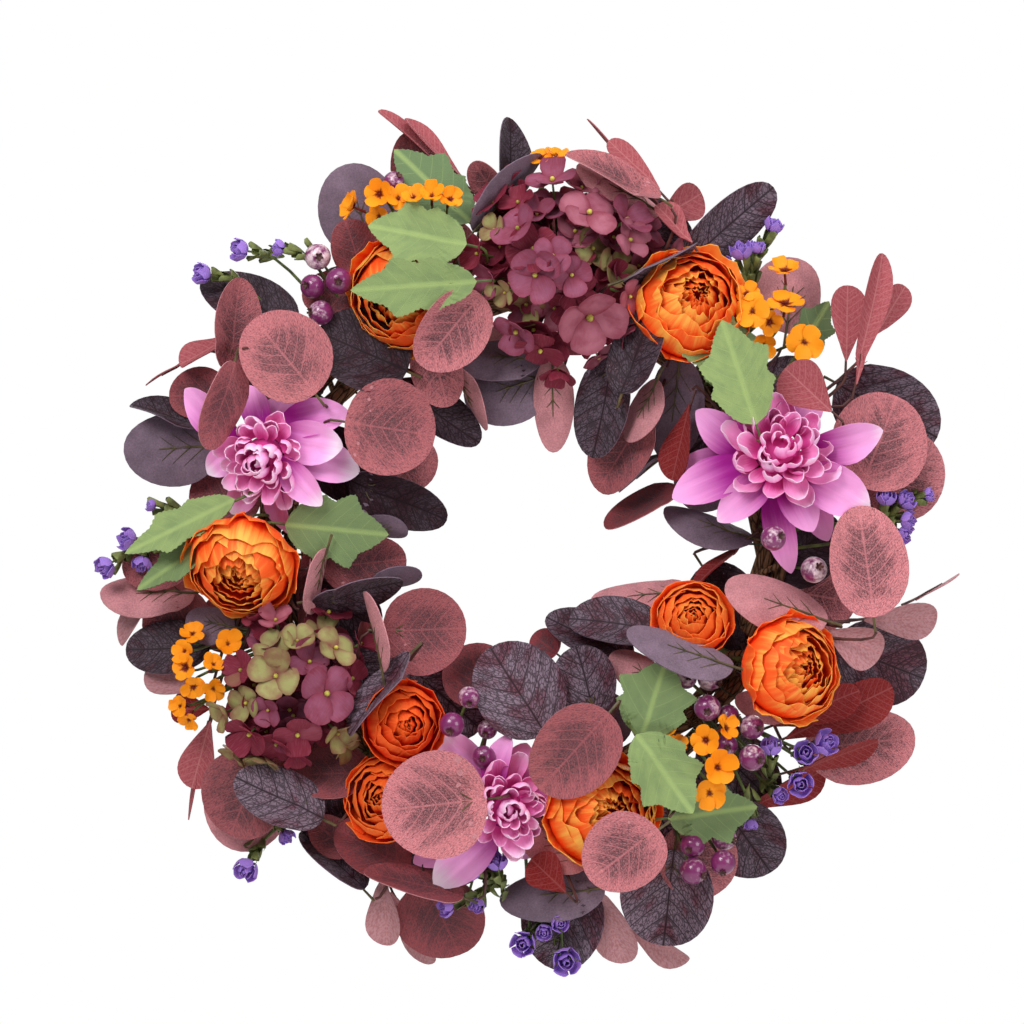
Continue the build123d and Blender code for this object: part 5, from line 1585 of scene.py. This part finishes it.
class WREATH_OT_hydrangeas(Operator):
    """Make the hydrangea heads of four-petalled florets on pedicels"""

    bl_idname = "wreath.hydrangeas"
    bl_label = "Hydrangeas"

    def execute(self, context):
        c = colours()
        materials = [floret_cloth("mottled_floret_cloth"),
                     moulded_plastic("moulded_floret_eye", c.floret_eye),
                     moulded_plastic("moulded_pedicel", c.stem_green)]
        for node in nodes_named("hydrangea"):
            skin = Skin()
            rng = draws(node)
            hub = hydrangea_hub(node)
            florets = [read_floret(*solid) for solid in solids_of(node)
                       if np.linalg.norm(solid[0].mean(axis=0) - hub) > 1 * MM]
            for place in florets + between_florets(florets, hub, rng):
                closed = 0.5 if place["radius"] < SMALL_FLORET else rng.uniform(0.05, 0.45)
                own = nearest(FLORET_SPOTS, place["middle"]) + rng.uniform(-0.09, 0.09)
                tint = place.get("tint", own)
                add_floret(skin, place, 4, rng, tint, closed, 1.02)
                path = hermite(hub, (place["middle"] - hub) * 0.6, place["middle"],
                               place["axis"] * 0.02, 7)
                points, faces = tube(path, np.linspace(*PEDICEL, 7) * MM)
                skin.add(points, faces, 2)
            finish_piece(skin.make(node + "_florets", materials), node)
        return {"FINISHED"}


CROWN = 0.34  # radius of a berry's crown, in the berry's radii
CROWN_PETALS = 5


def ball_profile():
    """The profile of a ball of radius 1 with a dimple a tenth deep at the top, from pole to pole."""
    angles = np.radians(np.linspace(-90, 90, 15))
    dimple = 0.10 * np.exp(-((np.cos(angles) / 0.22) ** 2))
    ball = np.column_stack([np.cos(angles), np.sin(angles) - dimple])
    ball[0, 0] = ball[-1, 0] = 0
    return ball


class WREATH_OT_berries(Operator):
    """Make the painted berries, each with a small brown crown"""

    bl_idname = "wreath.berries"
    bl_label = "Berries"

    def execute(self, context):
        c = colours()
        materials = [berry_paint("painted_berry"), moulded_plastic("moulded_brown_crown", c.stem_brown)]
        ball = ball_profile()
        for node in nodes_named("berries"):
            skin = Skin()
            rng = draws(node)
            for points, triangles in solids_of(node):
                place = read_head(points, triangles)
                radius = place["radius"]
                tilt = unit(place["axis"] + rng.uniform(-0.5, 0.5, 3))
                first, second = axes_about(tilt, rng.uniform(0, 6.28))
                shape, faces = lathe(ball * radius, 20)
                shape = placed(shape, place["middle"], first, second, tilt)
                skin.add(shape, faces, 0, None, rng.uniform(0, 1))
                crown, reach = place["middle"] + tilt * radius * 0.9, radius * CROWN
                for i in range(CROWN_PETALS):
                    angle = i * 2 * np.pi / CROWN_PETALS
                    along = first * math.cos(angle) + second * math.sin(angle)
                    add_petal_disc(skin, crown, along, np.cross(tilt, along), tilt, reach, reach * 0.6,
                                   0.3, 0.3, rng, 1, 0.0, 8)
                add_stalk(skin, place, 1)
            finish_piece(skin.make(node + "_painted", materials), node)
        return {"FINISHED"}


class WREATH_OT_blossoms(Operator):
    """Make the small yellow blossoms of five round petals"""

    bl_idname = "wreath.blossoms"
    bl_label = "Blossoms"

    def execute(self, context):
        c = colours()
        cloth = petal_cloth("shaded_blossom_cloth", c.blossom_eye, c.blossom, c.blossom, 0.22, 0.8, 0.1)
        eye = moulded_plastic("moulded_blossom_eye", c.blossom_eye)
        for node in nodes_named("blossoms"):
            skin = Skin()
            rng = draws(node)
            for points, triangles in solids_of(node):
                place = read_floret(points, triangles)
                place["radius"] *= 0.94
                add_floret(skin, place, 5, rng, rng.uniform(0, 0.8), rng.uniform(0.1, 0.7), 0.92)
                add_stalk(skin, place, 1, 1.0)
            finish_piece(skin.make(node + "_cloth", [cloth, eye]), node)
        return {"FINISHED"}


LEAFLET_STEP = 2.5  # how far apart the olive leaves stand along a bud's stalk, in millimetres
LEAFLET_LENGTHS = (9, 14)
LEAFLET_WIDTHS = (4, 5.5)


class WREATH_OT_violets(Operator):
    """Make the violet buds and the small olive leaves on their stalks"""

    bl_idname = "wreath.violets"
    bl_label = "Violets"

    def execute(self, context):
        c = colours()
        petals = petal_cloth("shaded_violet_plastic", c.violet_deep, c.violet, c.violet, 0.5, 1.2, 0.2)
        olive = moulded_plastic("moulded_olive_leaf", c.olive)
        for node in nodes_named("violets"):
            skin = Skin()
            rng = draws(node)
            for points, triangles in solids_of(node):
                place = read_head(points, triangles)
                add_cupped_head(skin, place, VIOLET_LAYERS, rng, 6, 0.03, 0.95)
                add_stalk(skin, place, 1)
                first, second = axes_about(place["axis"], rng.uniform(0, 6.28))
                ways = (first, -first, second, -second, first, second - first, -second)
                for i, along in enumerate(ways):
                    lean = unit(along + place["axis"] * rng.uniform(0.5, 1.2))
                    across = unit(np.cross(place["axis"], lean))
                    root = place["neck"] - place["axis"] * i * LEAFLET_STEP * MM
                    add_petal_disc(skin, root, lean, across, np.cross(lean, across),
                                   rng.uniform(*LEAFLET_LENGTHS) * MM, rng.uniform(*LEAFLET_WIDTHS) * MM,
                                   0.1, 0.3, rng, 1, 0.0, 12)
            finish_piece(skin.make(node + "_moulded", [petals, olive]), node)
        return {"FINISHED"}


class WREATH_OT_ring(Operator):
    """Finish the vine ring, the florist's wire and the hanging loop"""

    bl_idname = "wreath.ring"
    bl_label = "Vine Ring"

    def execute(self, context):
        c = colours()
        bark = vine_bark("dried_vine_bark", c.bark, c.bark_dark)
        finishes = {"vine_cane": bark, "wrap_vine": bark,
                    "binding_wires": papered_wire("papered_wire", c.tie),
                    "hanging_loop": galvanised_wire("galvanised_wire", c.zinc)}
        for start, material in finishes.items():
            for node in nodes_named(start):
                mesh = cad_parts[node].data
                mesh.materials.clear()
                mesh.materials.append(material)
        return {"FINISHED"}


class WREATH_OT_stage(Operator):
    """Make the pale floor, the soft studio lights and the camera"""

    bl_idname = "wreath.stage"
    bl_label = "Stage"

    VIEW_WIDTH = 0.6144  # what the camera sees at the wreath's middle, in metres
    VIEW_SHIFT = (-0.0072, 0.0186)  # the middle of the view, right of and above the ring's middle
    DISTANCE = 2.5  # how far the camera stands from the wreath's middle
    FLOOR_SIZE = 2.6
    FLOOR_DROP = 0.62  # how far the floor lies below the ring's middle
    SKY = 0.30  # how strongly the white sky lights the wreath. The camera sees it at 1
    LAMPS = (  # name, place from the ring's middle, size in metres and power in watts
        ("key", (-0.8, -1.5, 1.1), 0.9, 23.0), ("fill", (1.4, -1.4, 0.3), 1.1, 13.0),
        ("top", (0.1, -0.5, 1.3), 1.0, 8.0), ("back", (0.3, 1.4, 0.6), 1.2, 12.0),
    )

    def execute(self, context):
        scene = context.scene
        low, high = (np.array(corner) for corner in CAD_BOX)
        aim = np.array([RING_MIDDLE[0] + self.VIEW_SHIFT[0], (low[1] + high[1]) / 2,
                        RING_MIDDLE[2] + self.VIEW_SHIFT[1]])
        data = bpy.data.cameras.new("camera")
        data.lens = data.sensor_width * self.DISTANCE / self.VIEW_WIDTH
        camera = bpy.data.objects.new("camera", data)
        camera.location = aim + np.array([0, -self.DISTANCE, 0])
        camera.rotation_euler = (math.radians(90), 0, 0)
        scene.collection.objects.link(camera)
        scene.camera = camera

        bpy.ops.mesh.primitive_plane_add(size=self.FLOOR_SIZE,
                                         location=(0, -0.2, RING_MIDDLE[2] - self.FLOOR_DROP))
        floor = context.object
        floor.name = "floor"
        material, tree = new_material("pale_floor_paint")
        shader = add(tree, "ShaderNodeBsdfPrincipled", {"Base Color": linear("#F2F0EE"), "Roughness": 0.9})
        floor.data.materials.append(finish_material(material, tree, shader))

        for name, place, size, power in self.LAMPS:
            light = bpy.data.lights.new(name, "AREA")
            light.shape = "DISK"
            light.size = size
            light.energy = power
            lamp = bpy.data.objects.new(name, light)
            lamp.location = RING_MIDDLE + np.array(place)
            away = Vector(aim - np.array(lamp.location))
            lamp.rotation_euler = away.to_track_quat("-Z", "Y").to_euler()
            scene.collection.objects.link(lamp)

        world = bpy.data.worlds.new("studio")
        world.use_nodes = True
        tree = world.node_tree
        tree.nodes.clear()
        seen = add(tree, "ShaderNodeLightPath")
        strength = add(tree, "ShaderNodeMapRange", {"Value": seen, "To Min": self.SKY, "To Max": 1.0})
        sky = add(tree, "ShaderNodeBackground", {"Color": (1, 1, 1), "Strength": strength})
        add(tree, "ShaderNodeOutputWorld", {0: sky})
        scene.world = world
        scene.view_settings.view_transform = "Standard"
        return {"FINISHED"}


PIECE_OPERATORS = (
    WREATH_OT_stage, WREATH_OT_ring, WREATH_OT_red_leaves, WREATH_OT_plum_leaves, WREATH_OT_paddle_leaves,
    WREATH_OT_green_leaves, WREATH_OT_stems, WREATH_OT_peonies, WREATH_OT_roses, WREATH_OT_dahlias,
    WREATH_OT_hydrangeas, WREATH_OT_berries, WREATH_OT_blossoms, WREATH_OT_violets,
)


class WREATH_PT_panel(Panel):
    """Sizes, colours and makers of the wreath"""

    bl_idname = "WREATH_PT_panel"
    bl_label = "Harvest Wreath"
    bl_space_type = "VIEW_3D"
    bl_region_type = "UI"
    bl_category = "Wreath"

    def draw(self, context):
        for operator in PIECE_OPERATORS:
            self.layout.operator(operator.bl_idname)
        for group in (context.scene.wreath_sizes, context.scene.wreath_colours):
            box = self.layout.box()
            for name in group.__annotations__:
                box.prop(group, name)


CLASSES = (WREATH_PG_sizes, WREATH_PG_colours, *PIECE_OPERATORS, WREATH_PT_panel)


def register():
    """Registers the classes, and gives each scene its sizes and colours."""
    for item in CLASSES:
        bpy.utils.register_class(item)
    bpy.types.Scene.wreath_sizes = PointerProperty(type=WREATH_PG_sizes)
    bpy.types.Scene.wreath_colours = PointerProperty(type=WREATH_PG_colours)


def unregister():
    """Undoes register()."""
    del bpy.types.Scene.wreath_colours
    del bpy.types.Scene.wreath_sizes
    for item in reversed(CLASSES):
        bpy.utils.unregister_class(item)


def main():
    """Registers the add-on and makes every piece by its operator."""
    register()
    for operator in PIECE_OPERATORS:
        group, name = operator.bl_idname.split(".")
        getattr(getattr(bpy.ops, group), name)()


if __name__ == "__main__":
    main()
